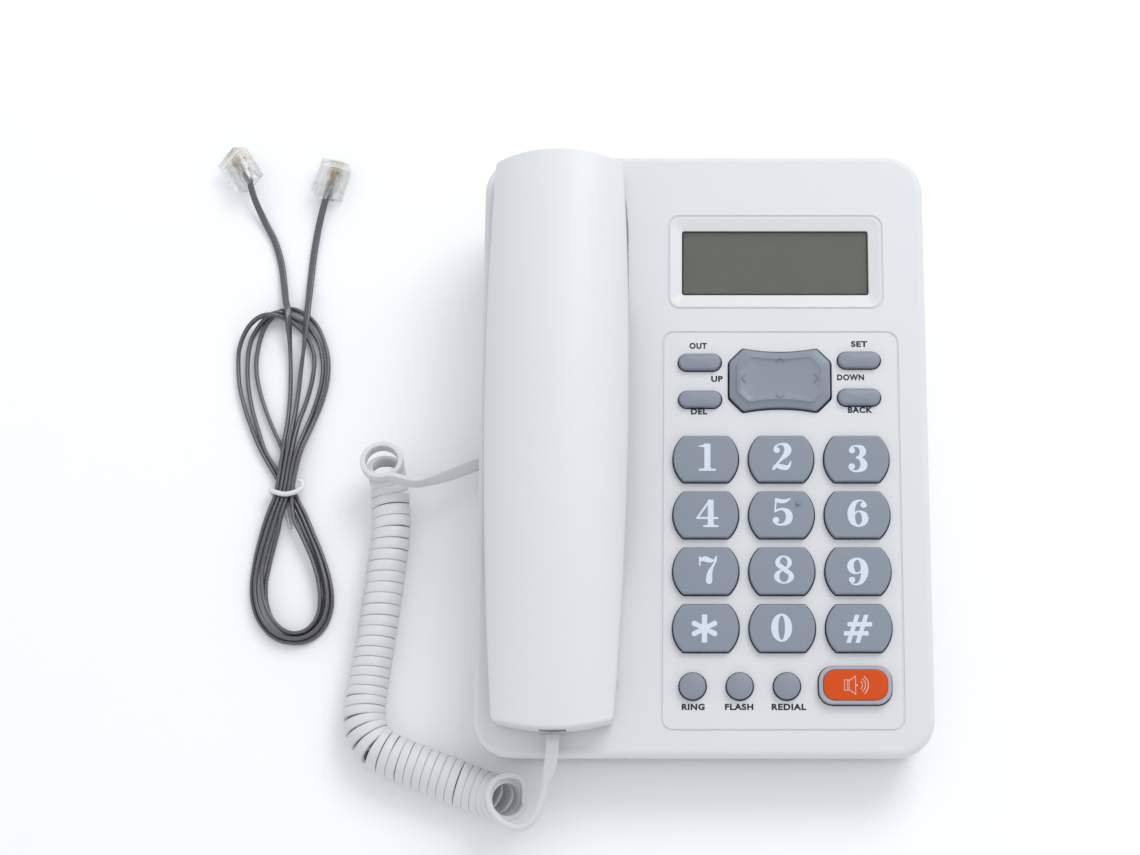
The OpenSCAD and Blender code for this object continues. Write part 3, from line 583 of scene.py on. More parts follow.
# The dish under the handset: its edge on the face and the edge of its floor
DISH_TOP = [
    (-65.6, 20), (-67.6, 60), (-68.6, 100), (-68.4, 140), (-67.2, 174), (-65, 182.5), (-59.5, 186.2),
    (-46, 187), (-32.5, 186.2),
    (-26.2, 182.5), (-24.5, 174), (-24.1, 160), (-24.1, 136), (-24.1, 100), (-25.2, 60), (-26.8, 30),
    (-27.8, 17.5),
    (-31.5, 12.6), (-45.5, 11.6), (-59, 12.4), (-64.4, 15.2),
]
DISH_FLOOR = [
    (-62.9, 22), (-64.6, 60), (-65.4, 100), (-65.2, 140), (-64.6, 172), (-62.6, 179.5), (-58, 183), (-46, 184),
    (-34.5, 183),
    (-29.6, 179.5), (-27.9, 172), (-27.4, 158), (-27.2, 136), (-27.2, 100), (-27.9, 60), (-28.7, 32), (-29, 20),
    (-33, 15), (-45, 13.6), (-58, 14.6), (-62, 17.5),
]


# Half the base's width at its front and rear, and its corner radius
FRONT_HALF, REAR_HALF, PLAN_CORNER = 71.5, 71, 12


def plan(d):
    """The base's outline seen from above, pulled in by d."""
    front, rear, y, r = FRONT_HALF - d, REAR_HALF - d, HALF_L - d, PLAN_CORNER - d
    out = []
    corners = (front - r, r - y, -90), (rear - r, y - r, 0), (r - rear, y - r, 90), (r - front, r - y, 180)
    for cx, cy, start in corners:
        for a in np.radians(np.linspace(start, start + 90, 13)):
            out.append((cx + r * math.cos(a), cy + r * math.sin(a)))
    return np.array(out)


def plan_ring(d, w):
    """That outline at height w over the face, with upright sides."""
    p = plan(d)
    return np.column_stack([p, FRONT_Z + (p[:, 1] + HALF_L) * math.tan(TILT) + w / COS])


def base_shell():
    skirt = [(1.5, -9), (1.15, -8.8), (0.85, -6), (0.35, -3.6)] + [(d, -drop) for d, drop in edge(2.1, 8)]
    top = loft("base_shell", [plan_ring(d, w) for d, w in skirt], WHITE)
    carve(top, [loft("cavity", [plan_ring(2.4, -9.2), plan_ring(2.4, -2.4)])])
    high, low = loop(DISH_TOP), loop(DISH_FLOOR)
    # Two wells in the dish take the handset's mouthpiece and earpiece
    wells = [(10.5, 47.5), (147.5, 186)]
    well = lambda a, b, g: round_box((33.6 + 2 * g, b - a + 2 * g), 5 + g, (HANDSET_U, (a + b) / 2))
    tubs = [loft("tub", [at_w(high, -4.6), at_w(high, -1)])]
    tubs += [loft("tub", [at_w(well(a, b, 1.6), -11.8), at_w(well(a, b, 1.6), -1)]) for a, b in wells]
    carve(top, tubs, "UNION")
    cuts = []
    slope = [at_w(high, 1), at_w(high, 0.02)]
    for t in np.linspace(0.08, 1, 11):
        slope.append(at_w(high * (1 - t) + low * t, -3 * (t * t * (3 - 2 * t)) ** 0.8))
    cuts.append(loft("dish", slope))
    for a, b in wells:
        down = [(0.8, 1), (0.8, -2.4), (0.25, -2.75), (0, -3.3), (0, -8.8), (-0.5, -9.8), (-1.5, -10.2)]
        cuts.append(loft("well", [at_w(well(a, b, g), w) for g, w in down]))
    cuts.append(loft("hook_hole", [at_w(0.84 * round_outline() + (HANDSET_U, 158), w) for w in (-13, -9)]))
    holes = [(number_outline, NUMBERS, 0.35), (side_outline, SIDE_KEYS, 0.35), (round_outline, ROUND_KEYS, 0.35)]
    holes += [(speaker_outline, {"s": SPEAKER}, 0.35), (nav_outline, {"n": NAV}, 0.55)]
    for outline, places, gap in holes:
        for at in places.values():
            steps = [(gap, -3.4), (gap, -0.25), (gap + 0.07, -0.08), (gap + 0.2, 0), (gap + 0.7, 0.5)]
            cuts.append(loft("hole", [at_w(outline(g) + at, w) for g, w in steps]))
    for at, size in ((LCD, (69.6, 31.8)), (PAD, (75.8, 128))):
        box = lambda g: round_box((size[0] - 0.8 + 2 * g, size[1] - 0.8 + 2 * g), 3.6 + g, at, 12)
        section = [(0.5, 0.3), (0.42, 0), (0.3, -0.36), (0, -0.5), (-0.3, -0.36), (-0.42, 0), (-0.5, 0.3)]
        cuts.append(hoop("groove", [at_w(box(g), w) for g, w in section]))
    bevel = [
        ((68, 30.2), 3.3, 0.5), ((67.2, 29.4), 3, 0), ((66.6, 28.8), 2.8, -0.12),
        ((60.9, 22.3), 1.1, -1.0), ((60.2, 21.6), 0.8, -1.25), ((60, 21.4), 0.8, -3.2),
    ]
    cuts.append(loft("window", [at_w(round_box(size, r, LCD), w) for size, r, w in bevel]))
    flatten(carve(top, cuts))
    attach(top, "base")
    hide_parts("base_top")


base_shell()

# A thin black ring round the LCD glass is painted shade: it stands in for the shadow inside the window's recess
around_glass = lambda g: round_box((60.1 + 2 * g, 21.5 + 2 * g), max(0.8 + g, 0.2), LCD)
LCD_SHADE_RING_STEPS = [(0.0, -1.42), (0.0, -1.26), (-0.5, -1.26), (-0.5, -1.42)]
lcd_shade_ring = hoop("lcd_painted_shade_ring", [at_w(around_glass(g), w) for g, w in LCD_SHADE_RING_STEPS])
lcd_shade_ring.data.materials.append(INK_AND_PAINTED_SHADE)
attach(lcd_shade_ring, "base")

# ---- keys


def keycap(node, outline, at, rise, r=0.42, dome=0.15):
    """A key with a flange under the shell, a rounded edge of radius r and a slightly domed top."""
    rings = [(0.85, -4.3), (0.9, -4.2), (0.9, -2.75), (0.85, -2.7), (0, -2.7)]
    steps = [at_w(outline(g) + at, w) for g, w in rings]
    steps += [at_w(outline(-p) + at, rise - q) for p, q in edge(r, 6)]
    last = outline(-r)
    for k in (0.92, 0.8, 0.6, 0.35, 0.1):
        steps.append(at_w(last * k + at, rise + dome * (1 - k * k)))
    key = flatten(loft(node + "_cap", steps, GREY, 40))
    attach(key, node)
    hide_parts(node)
    return key


caps = {}
for n, at in NUMBERS.items():
    caps[n] = keycap("key_" + n, number_outline, at, 2.1)
for n, at in SIDE_KEYS.items():
    caps[n] = keycap("key_" + n, side_outline, at, 2.0, r=0.8, dome=0.3)
for n, at in ROUND_KEYS.items():
    caps[n] = keycap("key_" + n, round_outline, at, 2.2, r=0.35, dome=0.45)


# The navigation key's section as (pull in, height): a bevel, a rim and a sunken plateau
NAV_STEPS = [
    (0.05, 1.3), (0.2, 1.45), (0.5, 1.56), (1.8, 2.22), (2.1, 2.45), (2.3, 2.75), (2.45, 2.9), (2.65, 2.94),
    (2.85, 2.86), (3.1, 2.6), (3.4, 2.42), (4.2, 2.3), (6, 2.22), (7.5, 2.2), (9, 2.19),
]


def nav_cap():
    steps = [at_w(nav_outline(g) + NAV, w) for g, w in ((-1, -4.3), (0, -4.25), (0, 1.15))]
    for d, w in NAV_STEPS:
        ring = nav_outline() * [(half - d) / half for half in NAV_HALF] + NAV
        u = (ring[:, 0] - NAV[0]) / 13
        rise = 0.45 * np.clip(np.abs(u), 0, 1) ** 4 * (d > 2.9)
        steps.append(face(np.column_stack([ring, w + rise])))
    key = loft("nav_key_cap", steps, GREY, 40)
    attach(key, "nav_key")
    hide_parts("nav_key")
    return key


caps["nav"] = nav_cap()


def speaker_cap():
    outer = [(0.9, -4.3), (0.9, -2.7), (0, -2.7)] + [(-p, 2.6 - q) for p, q in edge(0.3, 5)]
    rings = [at_w(speaker_outline(g) + SPEAKER, w) for g, w in outer]
    rings += [at_w(round_box((20.2, 9.7), 3.9, SPEAKER), 2.6), at_w(round_box((20.1, 9.6), 3.85, SPEAKER), 1.8)]
    rim = loft("speaker_key_rim", rings, RIM)
    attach(rim, "speaker_key")
    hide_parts("speaker_key")
    steps = [at_w(round_box((20.0, 9.5), 3.8, SPEAKER), 1.82)]
    steps += [at_w(round_box((20.0 - 2 * p, 9.5 - 2 * p), 3.8 - p, SPEAKER), 3.0 - q) for p, q in edge(0.35, 5)]
    last = round_box((19.3, 8.8), 3.45)
    steps += [at_w(last * k + SPEAKER, 3.0 - 0.02 * (1 - k)) for k in (0.8, 0.5, 0.15)]
    inlay = loft("speaker_key_pad", steps, ORANGE, 40)
    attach(inlay, "speaker_key")
    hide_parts("speaker_key_inlay")
    return inlay


caps["speaker"] = speaker_cap()

# ---- printed and embossed marks: each is a union of distance fields over (x, y), negative inside


def stroke(points, smooth=True):
    """Distance field of a stroke whose points are (x, y, width)."""
    rows = np.asarray(points, float)
    if smooth and len(rows) > 2:
        rows = np.column_stack([rows[:, 0], rows[:, 1], np.zeros(len(rows)), rows[:, 2]])
        rows = spline(rows, 0.02)[:, [0, 1, 3]]

    def field(x, y):
        best = np.full(x.shape, 9.0)
        for a, b in zip(rows[:-1], rows[1:]):
            d = b[:2] - a[:2]
            t = np.clip(((x - a[0]) * d[0] + (y - a[1]) * d[1]) / max(d.dot(d), 1e-9), 0, 1)
            gap = np.hypot(x - a[0] - t * d[0], y - a[1] - t * d[1]) - (a[2] + t * (b[2] - a[2])) / 2
            best = np.minimum(best, gap)
        return best

    return field


def ball(x0, y0, r):
    return lambda x, y: np.hypot(x - x0, y - y0) - r


def oval(x0, y0, a, b, hole_a, hole_b):
    """An ellipse with an elliptic hole."""
    size = lambda x, y, p, q: (np.hypot((x - x0) / p, (y - y0) / q) - 1) * min(p, q)
    return lambda x, y: np.maximum(size(x, y, a, b), -size(x, y, hole_a, hole_b))


def polygon(*points):
    """Inside of a convex polygon, given anticlockwise."""

    def field(x, y):
        best = np.full(x.shape, -9.0)
        for a, b in zip(points, points[1:] + points[:1]):
            d = math.hypot(b[0] - a[0], b[1] - a[1])
            best = np.maximum(best, ((b[1] - a[1]) * (x - a[0]) - (b[0] - a[0]) * (y - a[1])) / d)
        return best

    return field


def bar(x0, y0, x1, y1):
    return polygon((x0, y0), (x1, y0), (x1, y1), (x0, y1))


def stencil(name, parts, box, cell, scale, at, target, material, thick=0.05):
    """A thin raised print of the union of fields, laid on a key's top."""
    xs = np.arange(box[0], box[2] + cell, cell)
    ys = np.arange(box[1], box[3] + cell, cell)
    gx, gy = np.meshgrid(xs, ys, indexing="ij")
    value = np.minimum.reduce([f(gx, gy) for f in parts])
    value[np.abs(value) < 1e-6] = 1e-6
    points, index, cells = [], {}, []

    def corner(i, j):
        key = (i, j)
        if key not in index:
            index[key] = len(points)
            points.append((gx[i, j], gy[i, j]))
        return index[key]

    def cut(i, j, k, m):
        key = (min((i, j), (k, m)), max((i, j), (k, m)))
        if key not in index:
            t = value[i, j] / (value[i, j] - value[k, m])
            index[key] = len(points)
            points.append((gx[i, j] + t * (gx[k, m] - gx[i, j]), gy[i, j] + t * (gy[k, m] - gy[i, j])))
        return index[key]

    for i in range(len(xs) - 1):
        for j in range(len(ys) - 1):
            around = [(i, j), (i + 1, j), (i + 1, j + 1), (i, j + 1)]
            inside = [value[q] < 0 for q in around]
            if not any(inside):
                continue
            if all(inside):
                cells.append([corner(*q) for q in around])
                continue
            if inside in ([True, False, True, False], [False, True, False, True]):
                for k in range(4):
                    if inside[k]:
                        q, after, before = around[k], around[(k + 1) % 4], around[k - 1]
                        cells.append([corner(*q), cut(*q, *after), cut(*q, *before)])
                continue
            ring = []
            for k in range(4):
                a, b = around[k], around[(k + 1) % 4]
                if inside[k]:
                    ring.append(corner(*a))
                if inside[k] != inside[(k + 1) % 4]:
                    ring.append(cut(*a, *b))
            cells.append(ring)
    uv = np.array(points) * scale + at
    key_top = target.data
    tree = BVHTree.FromPolygons([v.co for v in key_top.vertices], [tuple(p.vertices) for p in key_top.polygons])
    down = Vector((0, SIN, -COS))
    heights = []
    for start in face(np.column_stack([uv, np.full(len(uv), 12.0)])) * MM:
        hit = tree.ray_cast(Vector(start), down)
        heights.append(12 - hit[3] / MM if hit[0] else 0)
    heights = np.array(heights)
    n = len(uv)
    verts = np.vstack([face(np.column_stack([uv, heights + lift])) for lift in (thick, -0.12)])
    edges = {}
    for c in cells:
        for a, b in zip(c, c[1:] + c[:1]):
            edges[(a, b)] = edges.get((a, b), 0) + 1
    walls = [[a, a + n, b + n, b] for a, b in edges if (b, a) not in edges]
    return build(name, verts, cells + [[q + n for q in c][::-1] for c in cells] + walls, material, 30)


# The shapes on the number keys, drawn in a box of 1 by 1
BLOB = {
    "1": [
        bar(0.27, 0.04, 0.5, 0.98), bar(0.06, 0, 0.7, 0.075),
        stroke([(0.28, 0.94, 0.06), (0.18, 0.9, 0.05), (0.07, 0.89, 0.04)]),
        polygon((0.09, 0.87), (0.28, 0.84), (0.28, 0.97)),
        polygon((0.16, 0.04), (0.6, 0.04), (0.47, 0.13), (0.29, 0.13)),
    ],
    "2": [
        stroke([(0.12, 0.76, 0.1), (0.16, 0.88, 0.07), (0.34, 0.965, 0.07), (0.5, 0.9, 0.18),
            (0.565, 0.74, 0.24), (0.5, 0.58, 0.2), (0.36, 0.42, 0.11), (0.2, 0.24, 0.07), (0.1, 0.06, 0.07)]),
        ball(0.185, 0.735, 0.105),
        stroke([(0.07, 0.05, 0.09), (0.16, 0.15, 0.13), (0.34, 0.12, 0.19), (0.5, 0.09, 0.17),
            (0.6, 0.16, 0.1), (0.66, 0.31, 0.05)]),
    ],
    "3": [
        ball(0.18, 0.8, 0.105),
        stroke([(0.1, 0.82, 0.07), (0.18, 0.93, 0.07), (0.34, 0.965, 0.07), (0.51, 0.89, 0.18),
            (0.55, 0.74, 0.22), (0.47, 0.59, 0.13), (0.32, 0.535, 0.05)]),
        stroke([(0.32, 0.535, 0.05), (0.48, 0.48, 0.14), (0.575, 0.32, 0.23), (0.55, 0.16, 0.22),
            (0.4, 0.045, 0.1), (0.25, 0.035, 0.07), (0.13, 0.1, 0.07), (0.08, 0.2, 0.08)]),
        ball(0.165, 0.21, 0.11),
    ],
    "4": [
        bar(0.41, 0.03, 0.6, 0.985), stroke([(0.47, 0.95, 0.08), (0.07, 0.335, 0.06)], False),
        polygon((0.41, 0.8), (0.41, 0.98), (0.54, 0.98), (0.54, 0.9)), bar(0.035, 0.29, 0.75, 0.365),
        bar(0.26, 0, 0.76, 0.07), polygon((0.34, 0.04), (0.69, 0.04), (0.59, 0.13), (0.43, 0.13)),
    ],
    "5": [
        stroke([(0.16, 0.95, 0.09), (0.26, 0.9, 0.15), (0.42, 0.88, 0.14), (0.54, 0.92, 0.1),
            (0.66, 0.985, 0.03)]),
        stroke([(0.165, 0.96, 0.06), (0.12, 0.5, 0.055)], False),
        stroke([(0.12, 0.5, 0.06), (0.24, 0.575, 0.08), (0.4, 0.59, 0.1), (0.56, 0.49, 0.2),
            (0.61, 0.32, 0.23), (0.56, 0.15, 0.2), (0.4, 0.045, 0.09), (0.25, 0.035, 0.07),
            (0.12, 0.1, 0.07), (0.075, 0.19, 0.08)]),
        ball(0.155, 0.2, 0.11),
    ],
    "6": [
        stroke([(0.58, 0.84, 0.08), (0.52, 0.94, 0.06), (0.4, 0.97, 0.06), (0.24, 0.87, 0.15),
            (0.145, 0.66, 0.22), (0.125, 0.45, 0.25), (0.17, 0.2, 0.2), (0.3, 0.05, 0.09),
            (0.42, 0.045, 0.09), (0.55, 0.15, 0.17), (0.59, 0.3, 0.22), (0.55, 0.46, 0.18),
            (0.42, 0.565, 0.07), (0.3, 0.54, 0.06), (0.22, 0.44, 0.07)]),
        ball(0.545, 0.8, 0.105),
    ],
    "7": [
        stroke([(0.055, 0.96, 0.06), (0.055, 0.66, 0.05)], False),
        stroke([(0.06, 0.8, 0.05), (0.14, 0.88, 0.12), (0.26, 0.89, 0.19), (0.42, 0.84, 0.16),
            (0.56, 0.83, 0.07), (0.64, 0.93, 0.07)]),
        stroke([(0.655, 0.97, 0.06), (0.62, 0.8, 0.07), (0.52, 0.62, 0.09), (0.43, 0.42, 0.17),
            (0.395, 0.2, 0.23), (0.395, 0.115, 0.23)]),
    ],
    "8": [
        oval(0.35, 0.745, 0.275, 0.245, 0.125, 0.185), oval(0.36, 0.255, 0.325, 0.255, 0.15, 0.2),
        stroke([(0.22, 0.64, 0.16), (0.48, 0.42, 0.16)], False),
    ],
    "0": [oval(0.36, 0.5, 0.33, 0.495, 0.105, 0.43)],
    "star": [bar(0.405, 0, 0.595, 1)] + [
        stroke([(0.5, 0.5, 0.15), (0.5 + 0.4 * math.cos(a), 0.5 + 0.4 * math.sin(a), 0.19)], False)
        for a in np.radians([27, 153, 207, 333])
    ],
    "hash": [
        polygon((0.08, 0.02), (0.24, 0.02), (0.56, 0.98), (0.4, 0.98)),
        polygon((0.4, 0.02), (0.56, 0.02), (0.88, 0.98), (0.72, 0.98)),
        polygon((0.13, 0.58), (1.0, 0.58), (1.0, 0.73), (0.13, 0.73)),
        polygon((0.0, 0.27), (0.87, 0.27), (0.87, 0.42), (0.0, 0.42)),
    ],
}
BLOB["9"] = [lambda x, y: np.minimum.reduce([f(0.70 - x, 1 - y) for f in BLOB["6"]])]
# Width in millimetres of a mark, then how far it stands from the key's middle
MARKS = {
    "1": (8.4, 0.4, 0.3), "2": (9.3, 0.2, 0.6), "3": (9.2, 0.3, -0.1), "4": (9.6, 0.5, 0.2),
        "5": (9.2, 0.3, 0.7), "6": (9.4, 0.1, 0.3),
    "7": (8.6, 0.7, 0.2), "8": (9.5, 0.6, 0.3), "9": (9.4, -0.1, -0.3), "0": (9.8, -0.3, 0.0),
        "star": (8.8, -0.4, -0.3), "hash": (8.8, -0.4, -0.4),
}


def extent(parts):
    gx, gy = np.meshgrid(np.linspace(-0.1, 1.1, 121), np.linspace(-0.1, 1.1, 121), indexing="ij")
    inside = np.minimum.reduce([f(gx, gy) for f in parts]) < 0
    return gx[inside].min(), gx[inside].max(), gy[inside].min(), gy[inside].max()


UNIT_BOX = (-0.1, -0.1, 1.1, 1.1)
DIGIT_TALL = 8.7
for n, (wide, du, dv) in MARKS.items():
    x0, x1, y0, y1 = extent(BLOB[n])
    scale = np.array([wide, DIGIT_TALL / (y1 - y0)])
    at = np.array(NUMBERS[n]) + (du, dv) - np.array([(x0 + x1) / 2, (y0 + y1) / 2]) * scale
    mark = stencil("mark_" + n, BLOB[n], UNIT_BOX, 0.02, scale, at, caps[n], PRINT)
    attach(mark, "key_" + n)

dot = np.array(NUMBERS["5"]) + (5.2, 3.4)
PIP = [(1.0, 2.5), (0.95, 2.85), (0.8, 3.0), (0.5, 3.1), (0.1, 3.13)]
pip = loft("key_5_pip", [at_w(dot + 0.16 * k * round_outline(), w) for k, w in PIP], GREY)
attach(pip, "key_5")

line_of = lambda *points, w=0.14: stroke([(*q, w) for q in points], False)
# The four chevrons of the navigation key, pressed up from its plateau
CHEVRONS = {"up": (0, 6.0, 0), "down": (0, -5.6, 180), "left": (-11.4, 0.2, 90), "right": (11.4, 0.2, 270)}
for name, (du, dv, turn) in CHEVRONS.items():
    c, s = math.cos(math.radians(turn)), math.sin(math.radians(turn))
    spin = lambda x, y: (c * x - s * y, s * x + c * y)
    parts = [line_of(spin(-1.25, -0.45), spin(0, 0.75), spin(1.25, -0.45), w=0.3)]
    at = np.array(NAV) + (du, dv)
    mark = stencil("nav_" + name, parts, (-1.8, -1.8, 1.8, 1.8), 0.06, 1.0, at, caps["nav"], NAV_MARK, 0.2)
    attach(mark, "nav_key")


def waves(r, half, width):
    """An arc of radius r round the speaker's mouth, half degrees to each side."""
    inside = lambda x, y: np.abs(np.arctan2(y, x - 0.43)) < math.radians(half)
    return lambda x, y: np.where(inside(x, y), np.abs(np.hypot(x - 0.43, y) - r) - width / 2, 1.0)


icon = [
    line_of((-3.55, 1.6), (-2.15, 1.6), (-2.15, -1.6), (-3.55, -1.6), (-3.55, 1.6), w=0.24),
    line_of((-2.65, 1.6), (-2.65, -1.6), w=0.2),
    line_of((-2.15, 1.25), (-0.1, 2.85), (-0.1, -2.85), (-2.15, -1.35), w=0.28), ball(0.35, 0, 0.3),
    line_of((-0.1, 0), (0.4, 0), w=0.2),
    waves(1.6, 52, 0.26), waves(2.5, 52, 0.30), waves(3.4, 52, 0.34),
]
at = np.array(SPEAKER) + (0.1, -0.1)
mark = stencil("speaker_icon", icon, (-4.2, -3.4, 4.6, 3.4), 0.07, 1.0, at, caps["speaker"], ICON, 0.03)
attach(mark, "speaker_key")

# Middle and width of each printed word
LABELS = {
    "OUT": (-1.8, 130.9, 5.6), "UP": (4.2, 120.0, 3.7), "DEL": (-1.5, 109.3, 5.2), "SET": (49.7, 131.5, 5.2),
        "DOWN": (46.8, 120.5, 8.6),
    "BACK": (49.7, 109.8, 7.8), "RING": (-3.3, 15.4, 7.1), "FLASH": (10.9, 15.4, 8.8),
        "REDIAL": (26.3, 15.4, 10.7),
}


LABEL_TALL = 2.0


def label(word, u, v, wide):
    text = bpy.data.curves.new("label", "FONT")
    text.body, text.size, text.extrude, text.offset, text.resolution_u = word, 1.0, 0.01, 0.045, 6
    text.space_character = 1.13
    holder = bpy.data.objects.new("label", text)
    scene.collection.objects.link(holder)
    mesh = bpy.data.meshes.new_from_object(holder.evaluated_get(bpy.context.evaluated_depsgraph_get()))
    bpy.data.objects.remove(holder)
    co = np.array([tuple(q.co) for q in mesh.vertices])
    lo, hi = co.min(0), co.max(0)
    uv = (co[:, :2] - (lo[:2] + hi[:2]) / 2) / (hi[:2] - lo[:2]) * (wide, LABEL_TALL) + (u, v)
    points = face(np.column_stack([uv, np.where(co[:, 2] > 0, 0.03, -0.05)]))
    obj = build("label_" + word.lower(), points, [list(p.vertices) for p in mesh.polygons], INK_AND_PAINTED_SHADE, 30)
    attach(obj, "base")


for word, (u, v, wide) in LABELS.items():
    label(word, u, v, wide)

# ---- handset

# The seam's height, the ends along the face, and where the handset is widest
SEAM_W = 11.65
HANDSET_FRONT, HANDSET_LONG, WIDEST_V = 7.2, 183.2, 112
HANDSET_REAR = HANDSET_FRONT + HANDSET_LONG
HALF_WIDE = 22.5


def handset_side(v):
    """Half the handset's width at v."""
    return HALF_WIDE - 0.00036 * (v - WIDEST_V) ** 2


def handset_crown(u, v):
    """Height of the handset's top surface; u is from its middle."""
    arc = (np.sqrt(26**2 - np.clip(np.abs(u) / handset_side(v) * HALF_WIDE, 0, HALF_WIDE) ** 2) - 13.03) / 12.97
    return 12.03 + (12.97 - np.where(v > WIDEST_V, 7.6, 6.5) * ((v - WIDEST_V) / 105) ** 2) * arc


def handset_grid(corner=1.0):
    """Even columns and stations, closer towards the edges; gives u, v and the distance from the edge."""
    near = np.array([0, 0.06, 0.14, 0.26, 0.42, 0.62, 0.9, 1.3, 2.0])
    across = np.concatenate([near, np.linspace(3, 42, 40), 45 - near[::-1]]) / 45
    along = np.concatenate([near, np.linspace(3, HANDSET_LONG - 3, 90), HANDSET_LONG - near[::-1]]) / HANDSET_LONG
    x, t = np.meshgrid(2 * across - 1, along, indexing="ij")
    side = handset_side(HANDSET_FRONT + HANDSET_LONG * t)
    du, dv = (1 - np.abs(x)) * side, np.minimum(t, 1 - t) * HANDSET_LONG
    # Points in a corner's square move onto its arcs
    px, py = np.clip(corner - du, 0, None), np.clip(corner - dv, 0, None)
    q, length = np.maximum(px, py), np.hypot(px, py)
    k = np.where((px > 0) & (py > 0), q / np.maximum(length, 1e-9), 1.0)
    d = np.where((px > 0) & (py > 0), corner - q, np.minimum(du, dv))
    du, dv = np.where(px > 0, corner - px * k, du), np.where(py > 0, corner - py * k, dv)
    u = np.sign(x) * (side - du)
    v0, v1 = HANDSET_FRONT + 3.6 * (u / 20) ** 2, HANDSET_REAR - 2.2 * (u / 20.5) ** 2
    t = np.where(t < 0.5, dv / HANDSET_LONG, 1 - dv / HANDSET_LONG)
    return u, v0 + t * (v1 - v0), d


def handset_shell(name, top, bottom):
    """A closed solid between two height functions of (u, v, d) over the handset's outline."""
    u, v, d = handset_grid()
    ni, nj = u.shape
    upper, lower = (face(np.stack([u + HANDSET_U, v, height(u, v, d)], -1)) for height in (top, bottom))
    at = np.arange(ni * nj).reshape(ni, nj)
    quads = np.stack([at[:-1, :-1], at[1:, :-1], at[1:, 1:], at[:-1, 1:]], -1).reshape(-1, 4)
    rim = np.concatenate([at[:, 0], at[-1, 1:], at[-2::-1, -1], at[0, -2:0:-1]])
    walls = np.stack([rim, np.roll(rim, -1), np.roll(rim, -1) + ni * nj, rim + ni * nj], -1)
    faces = np.vstack([quads, quads[:, ::-1] + ni * nj, walls])
    return build(name, np.vstack([upper.reshape(-1, 3), lower.reshape(-1, 3)]), faces, HANDSET_WHITE, 45)


def rounded(d, r):
    """How far a surface falls at a distance d from its edge."""
    return r - np.sqrt(np.clip(r * r - np.clip(r - d, 0, r) ** 2, 0, None))


def handset():
    def crown(u, v, d):
        w = handset_crown(u, v)
        return w - rounded(d, 0.6) * np.clip((w - SEAM_W - 0.1) / 1.6, 0, 1)

    top = handset_shell("handset_crown", crown, lambda u, v, d: 0 * u + SEAM_W)
    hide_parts("handset_top")
    under = np.array([
        (7.2, 0.6), (46, 0.6), (60, 4), (78, 6.9), (100, 7.6),
        (122, 6.9), (138, 4), (149, 0.6), (184.5, 0.6), (190.4, 4),
    ])
    fine = spline(np.column_stack([under, np.zeros(len(under))]), 0.5)
    low = lambda u, v, d: np.interp(v, fine[:, 0], fine[:, 1]) + rounded(d, 1.1)
    base = handset_shell("handset_underside", lambda u, v, d: 0 * u + SEAM_W - 0.1, low)
    cups = []
    for a, b in ((12, 46), (149, 184.5)):
        ring = lambda p, w: at_w(round_box((30.8 - 2 * p, b - a - 2 * p), 4.5 - p, (HANDSET_U, (a + b) / 2)), w)
        cups.append(loft("cup", [ring(p, -9.5 + q) for p, q in edge(1.6, 7)[::-1]] + [ring(0, 1), ring(0, 4)]))
    carve(base, cups, "UNION", 40)
    slot = lambda v, wide: [at_w(round_box((wide, 1.2), 0.55, (HANDSET_U, v + 0.6), 4), w) for w in (-12, -7.2)]
    cuts = [loft("slot", slot(v + 3 * i, wide)) for v, wide in ((167, 14), (29, 10)) for i in range(-2, 3)]
    hole = lambda v: [at_w(0.346 * round_outline() + (HANDSET_U, v), w) for w in (0, 10.5)]
    cuts += [loft("screw_hole", hole(v)) for v in (64, 134)]
    square = (-4.1, -3.6), (4.1, -3.6), (4.1, 3.6), (-4.1, 3.6)
    notch = lambda v: face([(HANDSET_U + x, v, 7.1 + w) for x, w in square])
    cuts.append(loft("notch", [notch(0), notch(17)]))
    carve(base, cuts, smooth=40)
    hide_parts("handset_bottom")
    for piece in (top, base):
        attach(piece, "handset")


handset()

# ---- line plugs and tie

# Where the cord enters each plug, the plug's heading and its roll
PLUGS = {"left": ((-154.2, 102.1, 5.8), 124, -38), "right": ((-128.4, 98.4, 3.4), 76, 0)}


def block(where, lo, hi, chamfer=0.0, name="block", material=None):
    """A box with its edges cut back, as a loft along X."""
    (x0, y0, z0), (x1, y1, z1) = lo, hi
    rings = []
    chamfered = (x0, chamfer), (x0 + chamfer, 0), (x1 - chamfer, 0), (x1, chamfer)
    for x, c in chamfered if chamfer else ((x0, 0), (x1, 0)):
        ring = round_box((y1 - y0 - 2 * c, z1 - z0 - 2 * c), max(chamfer, 0.02), ((y0 + y1) / 2, (z0 + z1) / 2), 4)
        rings.append([tuple(where @ Vector((x, float(y), float(z)))) for y, z in ring])
    return loft(name, rings, material, 30)


# The contacts' pitch, then the latch's section as (x, half width, bottom, top)
PITCH = 1.02
LATCH = [
    (9.4, 3.1, 2.4, 3.1), (6, 3.1, 2.9, 3.6), (3.2, 3.0, 3.4, 4.2),
    (2.2, 1.55, 3.7, 4.5), (-0.8, 1.5, 4.25, 5.0), (-2.6, 1.4, 4.5, 5.2),
]


